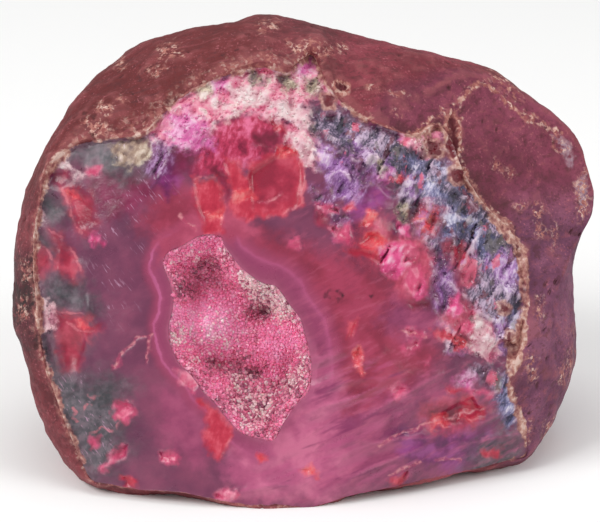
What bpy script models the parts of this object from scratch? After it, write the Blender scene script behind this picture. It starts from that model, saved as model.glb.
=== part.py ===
# A broken agate nodule with a crystal-lined hollow, standing on a flat ground base.
# Two pieces: the nodule itself, rind and agate grown as one stone, and the crust of
# quartz crystals that lines its hollow.
#
# Both are modelled in the frame of the broken face: x runs right across the face,
# y up it and z out of it, towards whoever looks at the stone. The objects are then
# leaned back and set down, so that the ground base lies in the plane z = 0.
import math
import random

import bmesh
import bpy
import numpy as np
from mathutils import Matrix, Vector, geometry, noise

MM = 0.001

# Driving sizes
FACE_LEAN = math.radians(20)
FACE_CENTRE = Vector((-1.22, -23.32, 40.4)) * MM  # where the face's own origin stands
NODULE_DEPTH = 58 * MM  # from the face to the back of the stone
HOLLOW_DEPTH = 17 * MM  # from the face to the deepest agate behind the crystals
CRUST_GAP = 0.35 * MM  # between the crust and the agate that it grew on
RIND_LIP = 0.9 * MM  # how far the rind's edge stands out of the face, on average

# Mesh fineness
RIM_STEPS = 144
HOLLOW_STEPS = 56
FACE_STEP = 1.85 * MM
CRYSTAL_STEP = 1.9 * MM

# Outline of the broken face with the stone's widest section behind it, anticlockwise
# from the lower left: rim x, rim y, widest x, widest y, depth of the widest section.
OUTLINE = np.array([
    (-36.8, -37.9, -40.6, -38.3, 16), (-32.9, -39, -35.4, -40.7, 16),
    (-27.9, -39.8, -29.2, -43, 17), (-20.9, -40.1, -22.3, -42.1, 17),
    (-14.7, -41.3, -15.8, -43.9, 18), (-8.7, -42.2, -9.4, -44.7, 18),
    (-3.5, -42.2, -3.6, -44.3, 18), (2.1, -42.6, 2.7, -45.2, 18), (8.7, -40.8, 9.2, -42.7, 19),
    (15.7, -39.6, 16.6, -40.2, 20), (22.8, -38.2, 23.4, -37, 21), (30, -37, 31.3, -37.9, 22),
    (36.3, -35.6, 39.2, -36.7, 23), (40.2, -34.5, 43.9, -32.7, 24),
    (39.2, -27.3, 47.2, -26, 25), (36.8, -21.9, 50.1, -17.2, 25), (38.6, -14.9, 49.6, -8, 25),
    (40, -6.9, 50.2, 2, 25), (39.9, 0.5, 54, 10.1, 25), (36.9, 5.8, 52.1, 18.5, 25),
    (32.5, 10.1, 47.8, 25, 26), (28.7, 16.1, 42.5, 29.7, 26), (26.7, 21.4, 36.6, 34, 26),
    (24.2, 24.1, 31.2, 35.9, 26), (20.3, 22.1, 26.6, 37.2, 26), (16.4, 22.9, 23, 38.5, 26),
    (11.6, 24.9, 18.4, 39.3, 26), (7.4, 27.8, 12.8, 40.7, 27), (4.6, 31.4, 8.4, 42.2, 28),
    (2.3, 36.5, 4.3, 43.6, 28), (-0.2, 35.3, 0.8, 44.8, 28), (-2.5, 33.1, -2.8, 45.1, 28),
    (-6.7, 34.1, -7.7, 45.2, 28), (-13.2, 32.6, -13.7, 43.2, 27), (-19, 29.8, -20, 42.3, 26),
    (-23.7, 25.9, -26.7, 40.6, 25), (-27.4, 22, -31.3, 37.7, 24),
    (-33.2, 21.3, -36.5, 33.4, 22), (-38.4, 20.4, -41.3, 28.4, 20),
    (-42.7, 17.7, -44.5, 21.2, 18), (-44.8, 12.4, -47.7, 14.8, 16),
    (-46.2, 6.3, -49.5, 7.8, 15), (-46.7, -0.7, -51, 0.5, 14), (-46.1, -6.8, -51.5, -6.4, 14),
    (-45.6, -12.9, -50.5, -12.8, 14), (-44.3, -19, -48.1, -19, 15),
    (-42.3, -25.2, -46.7, -25.7, 16), (-39.9, -31.3, -44.5, -32.1, 16),
]) * MM

# Mouth of the hollow, anticlockwise from its lowest point.
HOLLOW = np.array([
    (-4.5, -31.0), (-2.9, -28.2), (-1.0, -25.4), (1.6, -22.3), (2.0, -17.5),
    (1.0, -13.0), (0.0, -9.9), (-1.6, -7.8), (-4.0, -4.5), (-6.4, -3.8),
    (-9.3, -1.9), (-10.9, -0.3), (-13.0, 2.6), (-13.8, 4.3), (-17.0, 4.5),
    (-20.6, 2.6), (-22.8, 1.6), (-23.7, -0.5), (-22.5, -4.1), (-22.0, -7.3),
    (-22.8, -12.8), (-21.1, -17.5), (-18.9, -19.7), (-16.8, -22.6),
    (-14.5, -24.9), (-11.9, -28.2), (-10.0, -29.9), (-6.9, -30.8),
]) * MM

# Where the face falls away from its flat middle: a point on the line where the slope
# begins, the way it falls in degrees, its gradient and how widely the turn is rounded.
SLOPES = [
    (-10.0, 21.0, 95, 0.60, 2.5),  # crumbly shelf under the top of the rind
    (5.2, 19.2, 38, 0.50, 2.5),  # coarse shelf along the upper right
    (12.0, -20.0, -15, 0.25, 4.0),  # lower right of the face
    (22.0, -28.0, -50, 0.35, 3.0),  # lower right corner
    (-30.0, 0.0, 180, 0.30, 3.0),  # left edge
    (-22.0, -30.0, 215, 0.20, 3.0),  # lower left corner
]

# Rough parts of the face: outline, height of the lumps and their spacing.
COARSE_SHELF = ([
    (-2.0, 38.0), (-1.5, 26.0), (2.0, 19.0), (5.5, 13.0), (8.0, 8.0), (13.0, 4.0),
    (19.0, 0.5), (24.0, -7.5), (28.0, -15.5), (35.0, -19.0), (39.0, -26.0),
    (46.0, -22.0), (46.0, 8.0), (30.0, 30.0),
], 1.3, 4.5)
CRUMBLY_SHELF = ([
    (-28.0, 23.0), (-19.0, 20.5), (-13.5, 25.0), (-6.0, 25.0), (-2.0, 26.0),
    (8.0, 27.5), (4.0, 40.0), (-12.0, 38.0), (-26.0, 30.0),
], 0.8, 3.0)
LEFT_BLOCKS = ([
    (-50.0, 22.0), (-38.0, 20.0), (-40.0, 8.0), (-36.5, 2.0), (-37.5, -5.0),
    (-34.0, -12.0), (-36.0, -24.0), (-32.0, -36.0), (-40.0, -42.0), (-50.0, -10.0),
], 1.1, 6.0)
ROUGH_PARTS = [COARSE_SHELF, CRUMBLY_SHELF, LEFT_BLOCKS]
ROUGH_FADE = 2.0 * MM

# Flake scars knocked out of the face: outline, depth of the step and the way towards
# the step in degrees. Opposite the step a scar runs out level with the face.
SCARS = [
    ([(-9.0, 15.4), (-8.5, 10.0), (-8.4, 7.6), (-5.7, 7.1), (-0.5, 8.7), (0.9, 14.9),
      (0.5, 18.2), (-2.1, 20.6), (-4.5, 18.3)], 2.2, 110),
    ([(-18.7, 13.8), (-17.3, 7.8), (-16.4, 5.6), (-13.7, 5.6), (-13.0, 8.0),
      (-13.3, 12.3), (-14.7, 15.3)], 1.4, 80),
    ([(-13.9, 18.0), (-12.3, 13.8), (-10.4, 10.5), (-9.9, 14.6), (-10.9, 17.1)], 1.2, 150),
    ([(-40.9, 12.4), (-39.6, 8.1), (-38.2, 5.7), (-36.2, 5.3), (-35.5, 9.2),
      (-38.7, 12.1)], 1.6, 150),
    ([(-42.4, -9.0), (-41.5, -16.4), (-40.5, -19.0), (-37.8, -17.3), (-37.0, -12.8),
      (-35.6, -11.2), (-36.9, -9.3)], 1.8, 95),
    ([(-32.0, -26.2), (-30.7, -28.1), (-28.7, -27.0), (-28.6, -25.2), (-30.1, -24.2)],
     0.9, 130),
    ([(15.7, -22.9), (17.0, -24.1), (18.8, -22.4), (16.8, -21.4)], 0.8, 130),
    ([(22.3, -12.3), (26.2, -14.3), (26.4, -12.4), (25.0, -11.2)], 1.2, 70),
    ([(10.2, 3.1), (11.8, 0.7), (13.3, 2.8), (13.1, 4.8), (11.4, 5.2)], 1.3, 60),
    ([(13.9, 1.9), (14.4, -2.3), (17.6, -2.0), (17.4, 2.5)], 1.4, 80),
    ([(18.4, 2.8), (18.6, 0.2), (20.6, 0.6), (20.8, 2.6)], 1.2, 60),
    ([(23.0, -27.4), (28.0, -28.6), (32.5, -26.0), (28.0, -24.4)], 1.4, 100),
    ([(-34.0, -34.4), (-31.0, -34.8), (-29.6, -32.0), (-31.0, -30.6)], 0.9, 140),
]
SCAR_STEP_RUN = 0.45 * MM

# Flat sides of the rind: a point on each and the way it faces.
FLAT_SIDES = [
    ((20.3, 22.1, -7.9), (0.486, 0.248, 0.839)),  # large flat at the upper right
    ((-33.0, 14.0, -45.0), (-0.62, 0.30, -0.73)),  # back, left
    ((30.0, 22.0, -46.0), (0.45, 0.50, -0.74)),  # back, upper right
]

# Lie of the crystals in the hollow: centre, reach across and up, and how far the
# bed there stands out (or lies deeper, where negative) than the rest.
CRYSTAL_BED_DEPTH = 8.2 * MM
CRYSTAL_EDGE_DEPTH = 0.9 * MM
CRYSTAL_EDGE_RUN = 4.5 * MM
CRYSTAL_SWELLS = [
    (-13.5, -10.0, 6.5, 5.5, 4.2),  # round boss, left of the middle
    (-2.5, -8.0, 4.0, 3.0, 2.0),
    (-2.5, -16.0, 4.0, 5.0, 2.0),
    (-18.0, 1.0, 4.0, 3.5, 2.2),
    (-8.0, -27.0, 6.0, 4.0, 2.4),
    (-6.8, -10.0, 3.5, 3.2, -2.6),
    (-15.5, -19.2, 4.5, 2.4, -1.8),
    (-7.5, -19.5, 4.2, 2.6, -2.2),
]
CRYSTAL_HEIGHT = 1.5 * MM


def smooth(t):
    t = np.clip(t, 0.0, 1.0)
    return t * t * (3.0 - 2.0 * t)


def closed_spline(rows, count):
    """Closed Catmull-Rom curve through rows, as count rows evenly spaced in x and y."""
    fine = []
    total = len(rows)
    for i in range(total):
        a, b, c, d = (rows[(i + k) % total] for k in (-1, 0, 1, 2))
        for t in np.linspace(0.0, 1.0, 24, endpoint=False):
            fine.append(0.5 * (2 * b + (c - a) * t + (2 * a - 5 * b + 4 * c - d) * t**2
                               + (3 * b - a - 3 * c + d) * t**3))
    fine = np.array(fine + fine[:1])
    along = np.concatenate([[0.0], np.cumsum(np.hypot(*np.diff(fine[:, :2], axis=0).T))])
    wanted = np.linspace(0.0, along[-1], count, endpoint=False)
    return np.stack([np.interp(wanted, along, column) for column in fine.T], axis=1)


def depth_inside(points, outline):
    """Distance of each point from a closed outline, positive inside it."""
    points = np.asarray(points, float)
    start, end = outline, np.roll(outline, -1, axis=0)
    step = end - start
    to_point = points[:, None, :] - start[None]
    share = np.clip((to_point * step).sum(2) / (step**2).sum(1), 0.0, 1.0)
    distance = np.hypot(*np.moveaxis(to_point - share[..., None] * step, 2, 0)).min(1)
    above = (start[:, 1] > points[:, 1:2]) != (end[:, 1] > points[:, 1:2])
    rise = np.where(step[:, 1] == 0.0, 1e-12, step[:, 1])
    crossing = start[:, 0] + (points[:, 1:2] - start[:, 1]) / rise * step[:, 0]
    inside = (above & (points[:, 0:1] < crossing)).sum(1) % 2 == 1
    return np.where(inside, distance, -distance)


def turbulence(x, y, spacing, seed):
    return noise.noise(Vector((x / spacing, y / spacing, seed)))


def face_relief(points):
    """Height of the broken face over its flat middle, without the flake scars."""
    points = np.asarray(points, float)
    height = np.zeros(len(points))
    for x, y, heading, gradient, rounding in SLOPES:
        way = np.array([math.cos(math.radians(heading)), math.sin(math.radians(heading))])
        run = (points - np.array([x, y]) * MM) @ way / (rounding * MM)
        height -= gradient * rounding * MM * np.logaddexp(0.0, run)
    rough = np.zeros(len(points))
    for seed, (outline, lump, spacing) in enumerate(ROUGH_PARTS):
        share = smooth(0.5 + depth_inside(points, np.array(outline) * MM) / ROUGH_FADE)
        rough = np.maximum(rough, share)
        for i in np.nonzero(share > 0.0)[0]:
            ridge = 1.0 - 2.0 * abs(turbulence(*points[i], spacing * MM, 3.0 + seed))
            block = turbulence(*points[i], 2.2 * spacing * MM, 8.0 + seed)
            height[i] += share[i] * lump * MM * (0.7 * ridge + 0.9 * block - 0.4)
    for i, (x, y) in enumerate(points):
        height[i] += (1.0 - rough[i]) * 0.45 * MM * turbulence(x, y, 11 * MM, 1.0)
    return height


def lip_height(rim):
    """How far the rind's broken edge stands out of the face at each point of the rim.
    It dies away along the bottom, where the face runs straight into the ground base."""
    ragged = np.array([1.0 + 0.9 * turbulence(x, y, 5 * MM, 21.0) for x, y in rim])
    return RIND_LIP * ragged * smooth((rim[:, 1] / MM + 37.0) / 6.0)


def inset(outline, distance):
    """The outline drawn in towards its middle by about that distance."""
    middle = outline.mean(0)
    arms = outline - middle
    reach = np.hypot(*arms.T)[:, None]
    return middle + arms * (1.0 - distance / reach)


def scar_floor(points, outline, depth, heading):
    """How far a scar lies under the face: nothing at its shallow end, depth at its step."""
    way = np.array([math.cos(math.radians(heading)), math.sin(math.radians(heading))])
    reach = outline @ way
    share = (points @ way - reach.min()) / (reach.max() - reach.min())
    return depth * MM * np.clip(share, 0.0, 1.0) ** 0.8


def spread_points(outline, holes, step, rng):
    """Points about a step apart inside an outline and clear of the holes' edges."""
    low, high = outline.min(0), outline.max(0)
    rows = []
    for j, y in enumerate(np.arange(low[1], high[1], step * math.sqrt(0.75))):
        for x in np.arange(low[0] + 0.5 * step * (j % 2), high[0], step):
            rows.append((x + rng.uniform(-0.2, 0.2) * step, y + rng.uniform(-0.2, 0.2) * step))
    points = np.array(rows)
    points = points[depth_inside(points, outline) > 0.55 * step]
    for hole, keep_inside in holes:
        depth = depth_inside(points, hole)
        near = np.abs(depth) < 0.5 * step
        points = points[~near if keep_inside else (depth < 0.0) & ~near]
    return points


def triangulate(loops, points, keep):
    """Triangles over closed loops and loose points, where keep(centres) is true."""
    flat, edges = [], []
    for loop in loops:
        first = len(flat)
        flat += [Vector(p) for p in loop]
        edges += [(first + i, first + (i + 1) % len(loop)) for i in range(len(loop))]
    flat += [Vector(p) for p in points]
    verts, _, faces, sources, _, _ = geometry.delaunay_2d_cdt(flat, edges, [], 0, 1e-9)
    verts = np.array([tuple(v) for v in verts])
    place = {}
    for new, old in enumerate(sources):
        for source in old:
            place[source] = new
    faces = np.array([f for f in faces if len(f) == 3])
    faces = faces[keep(verts[faces].mean(1))]
    return verts, faces, place


def bridge(bm, outer, inner):
    """Triangles between two closed rings of vertices, the second as long or half as long."""
    count, ratio = len(outer), len(outer) // len(inner)
    for i in range(count):
        a, b = outer[i], outer[(i + 1) % count]
        c, d = inner[i // ratio % len(inner)], inner[((i + 1) // ratio) % len(inner)]
        if c is not d:
            bm.faces.new((a, c, d))
            bm.faces.new((a, d, b))
        else:
            bm.faces.new((a, c, b))


def close_ring(bm, ring, pole):
    tip = bm.verts.new(pole)
    for i, vert in enumerate(ring):
        bm.faces.new((vert, tip, ring[(i + 1) % len(ring)]))


def rind_rings(outline):
    """Rings of points over the rind, from just behind the rim to near the back."""
    rim, widest, depth = outline[:, 0:2], outline[:, 2:4], outline[:, 4:5]
    start = (face_relief(rim) + lip_height(rim))[:, None]
    rings = []
    for t in (0.14, 0.32, 0.53, 0.76, 1.0):
        across = rim + (widest - rim) * (2 * t - t * t)
        rings.append(np.hstack([across, start + (-depth - start) * t**1.2]))
    back = np.array([1.0, -3.0]) * MM
    for i, t in enumerate((0.11, 0.22, 0.33, 0.44, 0.55, 0.65, 0.75, 0.84, 0.91, 0.965)):
        out = math.cos(t * math.pi / 2) ** 0.72
        away = math.sin(t * math.pi / 2) ** 0.9
        every = 2 ** sum(i >= k for k in (0, 7))
        across = back + (widest - back) * out
        rings.append(np.hstack([across, -depth - (NODULE_DEPTH - depth) * away])[::every])
    return rings, Vector((*back, -NODULE_DEPTH))


def shape_rind(bm, rind):
    """Flattens the flat sides and gives the rind its lumps."""
    for point, facing in FLAT_SIDES:
        facing = Vector(facing).normalized()
        for vert in rind:
            over = (vert.co - Vector(point) * MM).dot(facing)
            if over > 0.0:
                vert.co -= facing * over
    bm.normal_update()
    moves = []
    for vert in rind:
        lump = 1.1 * noise.noise(vert.co / (18 * MM)) + 0.6 * noise.noise(vert.co / (7 * MM))
        moves.append(vert.normal * lump * MM)
    for vert, move in zip(rind, moves):
        vert.co += move


def hollow_rings(mouth):
    """Rings down the agate wall of the hollow, and its deepest point."""
    middle = mouth.mean(0)
    top = face_relief(mouth)[:, None]
    rings = []
    for share, depth, every in ((0.985, 0.3, 1), (0.94, 0.55, 1), (0.78, 0.8, 1), (0.45, 0.96, 2)):
        across = middle + (mouth - middle) * share
        rings.append(np.hstack([across, top - HOLLOW_DEPTH * depth])[::every])
    return rings, Vector((*middle, -HOLLOW_DEPTH))


def cut_base(bm, into_face):
    """Cuts the stone off flat in the world's plane z = 0 and closes the cut."""
    point = into_face @ Vector((0, 0, 0))
    up = (into_face.to_3x3() @ Vector((0, 0, 1))).normalized()
    snap = 0.3 * MM
    for vert in bm.verts:
        height = (vert.co - point).dot(up)
        if abs(height) < snap:
            vert.co -= up * height
    bmesh.ops.bisect_plane(
        bm, geom=bm.verts[:] + bm.edges[:] + bm.faces[:], dist=1e-7,
        plane_co=point, plane_no=up, clear_inner=True)
    rim = [edge for edge in bm.edges if edge.is_boundary]
    bmesh.ops.contextual_create(bm, geom=rim)
    bmesh.ops.triangulate(bm, faces=bm.faces[:])


def nodule_mesh(into_face):
    rng = random.Random(7)
    outline = closed_spline(OUTLINE, RIM_STEPS)
    rim = outline[:, :2]
    mouth = closed_spline(HOLLOW, HOLLOW_STEPS)
    scars = [(np.array(points) * MM, depth, heading) for points, depth, heading in SCARS]
    floors = [inset(points, SCAR_STEP_RUN) for points, _, _ in scars]
    under_lip = inset(rim, 0.8 * RIND_LIP)
    holes = [(mouth, False)] + [(points, True) for points, _, _ in scars]
    loose = spread_points(under_lip, holes, FACE_STEP, rng)
    loops = [rim, mouth, under_lip] + [points for points, _, _ in scars] + floors

    def on_face(centres):
        return (depth_inside(centres, rim) > 0.0) & (depth_inside(centres, mouth) < 0.0)

    flat, faces, place = triangulate(loops, loose, on_face)
    height = face_relief(flat)
    for (points, depth, heading), floor in zip(scars, floors):
        within = depth_inside(flat, floor) > -1e-6
        height[within] -= scar_floor(flat[within], points, depth, heading)
    on_rim = [place[i] for i in range(len(rim))]
    height[on_rim] += lip_height(rim)
    bm = bmesh.new()
    verts = [bm.verts.new((x, y, z)) for (x, y), z in zip(flat, height)]
    for face in faces:
        bm.faces.new([verts[i] for i in face])

    rings, back = rind_rings(outline)
    ring = [verts[i] for i in on_rim]
    rind = []
    for points in rings:
        behind = [bm.verts.new(p) for p in points]
        bridge(bm, ring, behind)
        rind += behind
        ring = behind
    close_ring(bm, ring, back)
    shape_rind(bm, rind)

    rings, deepest = hollow_rings(mouth)
    ring = [verts[place[len(rim) + i]] for i in range(len(mouth))]
    for points in rings:
        behind = [bm.verts.new(p) for p in points]
        bridge(bm, ring, behind)
        ring = behind
    close_ring(bm, ring, deepest)
    bmesh.ops.delete(bm, geom=[v for v in bm.verts if not v.link_faces], context="VERTS")
    bmesh.ops.recalc_face_normals(bm, faces=bm.faces[:])
    cut_base(bm, into_face)
    return finish_mesh(bm, "agate_nodule")


def crystal_bed(points, mouth):
    """Height of the crystals' bed in the hollow, against the flat middle of the face."""
    points = np.asarray(points, float)
    depth = np.full(len(points), CRYSTAL_BED_DEPTH)
    for x, y, across, up, swell in CRYSTAL_SWELLS:
        far = ((points[:, 0] / MM - x) / across) ** 2 + ((points[:, 1] / MM - y) / up) ** 2
        depth -= swell * MM * np.exp(-far)
    share = smooth(depth_inside(points, mouth) / CRYSTAL_EDGE_RUN)
    return -CRYSTAL_EDGE_DEPTH - (depth - CRYSTAL_EDGE_DEPTH) * share


def crystal_faces(faces):
    """For each crystal the flat triangles between its tip and the valleys around it.
    Tips are the points of the given triangles, valleys their centres, numbered by face."""
    beside = {}
    for number, face in enumerate(faces):
        for k in range(3):
            beside.setdefault(frozenset((face[k], face[(k + 1) % 3])), []).append(
                (number, face[k], face[(k + 1) % 3]))
    for both in beside.values():
        number, a, b = both[0]
        if len(both) == 1:
            yield ("tip", a), ("tip", b), ("valley", number)
        else:
            other = both[1][0]
            yield ("tip", a), ("valley", other), ("valley", number)
            yield ("tip", b), ("valley", number), ("valley", other)


def crust_mesh():
    rng = random.Random(11)
    mouth = closed_spline(HOLLOW, HOLLOW_STEPS)
    edge = inset(mouth, CRUST_GAP + 0.15 * MM)
    loose = spread_points(edge, [], CRYSTAL_STEP, rng)
    flat, faces, place = triangulate(
        [edge], loose, lambda centres: depth_inside(centres, edge) > 0.0)
    on_edge = {place[i] for i in range(len(edge))}
    bed = crystal_bed(flat, mouth) + face_relief(flat) * 0.5
    tips = bed + np.array([
        0.0 if i in on_edge else CRYSTAL_HEIGHT * rng.uniform(0.2, 1.0) for i in range(len(flat))])
    centres = flat[faces].mean(1)
    valleys = bed[faces].mean(1) - 0.25 * CRYSTAL_HEIGHT
    bm = bmesh.new()
    made = {}
    for i, (x, y) in enumerate(flat):
        made["tip", i] = bm.verts.new((x, y, tips[i]))
    for i, (x, y) in enumerate(centres):
        made["valley", i] = bm.verts.new((x, y, valleys[i]))
    for corners in crystal_faces(faces):
        bm.faces.new([made[corner] for corner in corners])
    rings, deepest = hollow_rings(mouth)
    middle = mouth.mean(0)
    ring = [made["tip", place[i]] for i in range(len(edge))]
    for points in rings:
        arms = points[:, :2] - middle
        closer = middle + arms * (1.0 - 1.6 * CRUST_GAP / np.hypot(*arms.T)[:, None])
        height = points[:, 2:] + 1.6 * CRUST_GAP
        behind = [bm.verts.new((x, y, z)) for (x, y), (z,) in zip(closer, height)]
        bridge(bm, ring, behind)
        ring = behind
    close_ring(bm, ring, deepest + Vector((0, 0, 1.6 * CRUST_GAP)))
    bmesh.ops.recalc_face_normals(bm, faces=bm.faces[:])
    return finish_mesh(bm, "quartz_druse")


def finish_mesh(bm, name):
    bmesh.ops.dissolve_degenerate(bm, dist=0.01 * MM, edges=bm.edges[:])
    bmesh.ops.triangulate(bm, faces=bm.faces[:])
    mesh = bpy.data.meshes.new(name)
    bm.to_mesh(mesh)
    bm.free()
    return mesh


def stone_material(name, colour, roughness):
    material = bpy.data.materials.new(name)
    material.use_nodes = True
    shader = material.node_tree.nodes["Principled BSDF"]
    shader.inputs["Base Color"].default_value = (*colour, 1.0)
    shader.inputs["Roughness"].default_value = roughness
    shader.inputs["Metallic"].default_value = 0.0
    return material


def add_piece(mesh, material, standing):
    piece = bpy.data.objects.new(mesh.name, mesh)
    piece.matrix_world = standing
    mesh.materials.append(material)
    bpy.context.scene.collection.objects.link(piece)
    return piece


def main():
    for old in list(bpy.data.objects):
        bpy.data.objects.remove(old)
    lean = Matrix.Rotation(math.radians(90) - FACE_LEAN, 4, "X")
    standing = Matrix.Translation(FACE_CENTRE) @ lean
    agate = stone_material("dyed_agate", (0.26, 0.06, 0.12), 0.35)
    quartz = stone_material("quartz_crystal", (0.62, 0.22, 0.36), 0.15)
    add_piece(nodule_mesh(standing.inverted()), agate, standing)
    add_piece(crust_mesh(), quartz, standing)


main()
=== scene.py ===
import math
import random

import bmesh
import bpy
import numpy as np
from mathutils import Matrix, Vector, geometry, noise


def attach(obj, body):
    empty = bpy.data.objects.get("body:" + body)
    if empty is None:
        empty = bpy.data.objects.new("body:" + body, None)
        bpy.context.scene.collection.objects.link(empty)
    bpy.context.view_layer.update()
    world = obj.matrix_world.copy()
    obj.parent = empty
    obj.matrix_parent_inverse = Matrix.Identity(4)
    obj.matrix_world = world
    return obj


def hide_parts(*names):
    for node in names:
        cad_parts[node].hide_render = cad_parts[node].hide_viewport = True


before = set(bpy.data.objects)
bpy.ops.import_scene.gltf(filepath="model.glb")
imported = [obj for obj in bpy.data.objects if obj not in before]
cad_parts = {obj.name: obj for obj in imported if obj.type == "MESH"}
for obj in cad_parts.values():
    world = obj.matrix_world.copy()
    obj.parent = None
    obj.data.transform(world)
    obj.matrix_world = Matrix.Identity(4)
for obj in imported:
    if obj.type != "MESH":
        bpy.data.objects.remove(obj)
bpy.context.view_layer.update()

# Everything on the stone is worked out in millimetres in the frame of its broken face: x right
# across the face, y up it, z out of it. "Plan" places are the face as seen square on from seenFrom.
stance = {"lean": 20.0, "centre": (-1.22, -23.32, 40.4), "seenFrom": 450.0}
turn = Matrix.Rotation(math.radians(90 - stance["lean"]), 4, "X")
intoWorld = Matrix.Translation(Vector(stance["centre"]) * 0.001) @ turn @ Matrix.Scale(0.001, 4)
faceUp = np.array(turn.to_3x3().inverted() @ Vector((0, 0, 1)))  # the world's up, in the face's frame

# rim x, rim y, widest x, widest y, depth of the widest section
outlineRows = np.array([
    (-36.8, -37.9, -40.6, -38.3, 16), (-32.9, -39, -35.4, -40.7, 16),
    (-27.9, -39.8, -29.2, -43, 17), (-20.9, -40.1, -22.3, -42.1, 17),
    (-14.7, -41.3, -15.8, -43.9, 18), (-8.7, -42.2, -9.4, -44.7, 18),
    (-3.5, -42.2, -3.6, -44.3, 18), (2.1, -42.6, 2.7, -45.2, 18), (8.7, -40.8, 9.2, -42.7, 19),
    (15.7, -39.6, 16.6, -40.2, 20), (22.8, -38.2, 23.4, -37, 21), (30, -37, 31.3, -37.9, 22),
    (36.3, -35.6, 39.2, -36.7, 23), (40.2, -34.5, 43.9, -32.7, 24),
    (39.2, -27.3, 47.2, -26, 25), (36.8, -21.9, 50.1, -17.2, 25), (38.6, -14.9, 49.6, -8, 25),
    (40, -6.9, 50.2, 2, 25), (39.9, 0.5, 54, 10.1, 25), (36.9, 5.8, 52.1, 18.5, 25),
    (32.5, 10.1, 47.8, 25, 26), (28.7, 16.1, 42.5, 29.7, 26), (26.7, 21.4, 36.6, 34, 26),
    (24.2, 24.1, 31.2, 35.9, 26), (20.3, 22.1, 26.6, 37.2, 26), (16.4, 22.9, 23, 38.5, 26),
    (11.6, 24.9, 18.4, 39.3, 26), (7.4, 27.8, 12.8, 40.7, 27), (4.6, 31.4, 8.4, 42.2, 28),
    (2.3, 36.5, 4.3, 43.6, 28), (-0.2, 35.3, 0.8, 44.8, 28), (-2.5, 33.1, -2.8, 45.1, 28),
    (-6.7, 34.1, -7.7, 45.2, 28), (-13.2, 32.6, -13.7, 43.2, 27), (-19, 29.8, -20, 42.3, 26),
    (-23.7, 25.9, -26.7, 40.6, 25), (-27.4, 22, -31.3, 37.7, 24),
    (-33.2, 21.3, -36.5, 33.4, 22), (-38.4, 20.4, -41.3, 28.4, 20),
    (-42.7, 17.7, -44.5, 21.2, 18), (-44.8, 12.4, -47.7, 14.8, 16),
    (-46.2, 6.3, -49.5, 7.8, 15), (-46.7, -0.7, -51, 0.5, 14), (-46.1, -6.8, -51.5, -6.4, 14),
    (-45.6, -12.9, -50.5, -12.8, 14), (-44.3, -19, -48.1, -19, 15),
    (-42.3, -25.2, -46.7, -25.7, 16), (-39.9, -31.3, -44.5, -32.1, 16),
])

hollowMouth = np.array([
    (-4.5, -31.0), (-2.9, -28.2), (-1.0, -25.4), (1.6, -22.3), (2.0, -17.5),
    (1.0, -13.0), (0.0, -9.9), (-1.6, -7.8), (-4.0, -4.5), (-6.4, -3.8),
    (-9.3, -1.9), (-10.9, -0.3), (-13.0, 2.6), (-13.8, 4.3), (-17.0, 4.5),
    (-20.6, 2.6), (-22.8, 1.6), (-23.7, -0.5), (-22.5, -4.1), (-22.0, -7.3),
    (-22.8, -12.8), (-21.1, -17.5), (-18.9, -19.7), (-16.8, -22.6),
    (-14.5, -24.9), (-11.9, -28.2), (-10.0, -29.9), (-6.9, -30.8),
])

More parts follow.
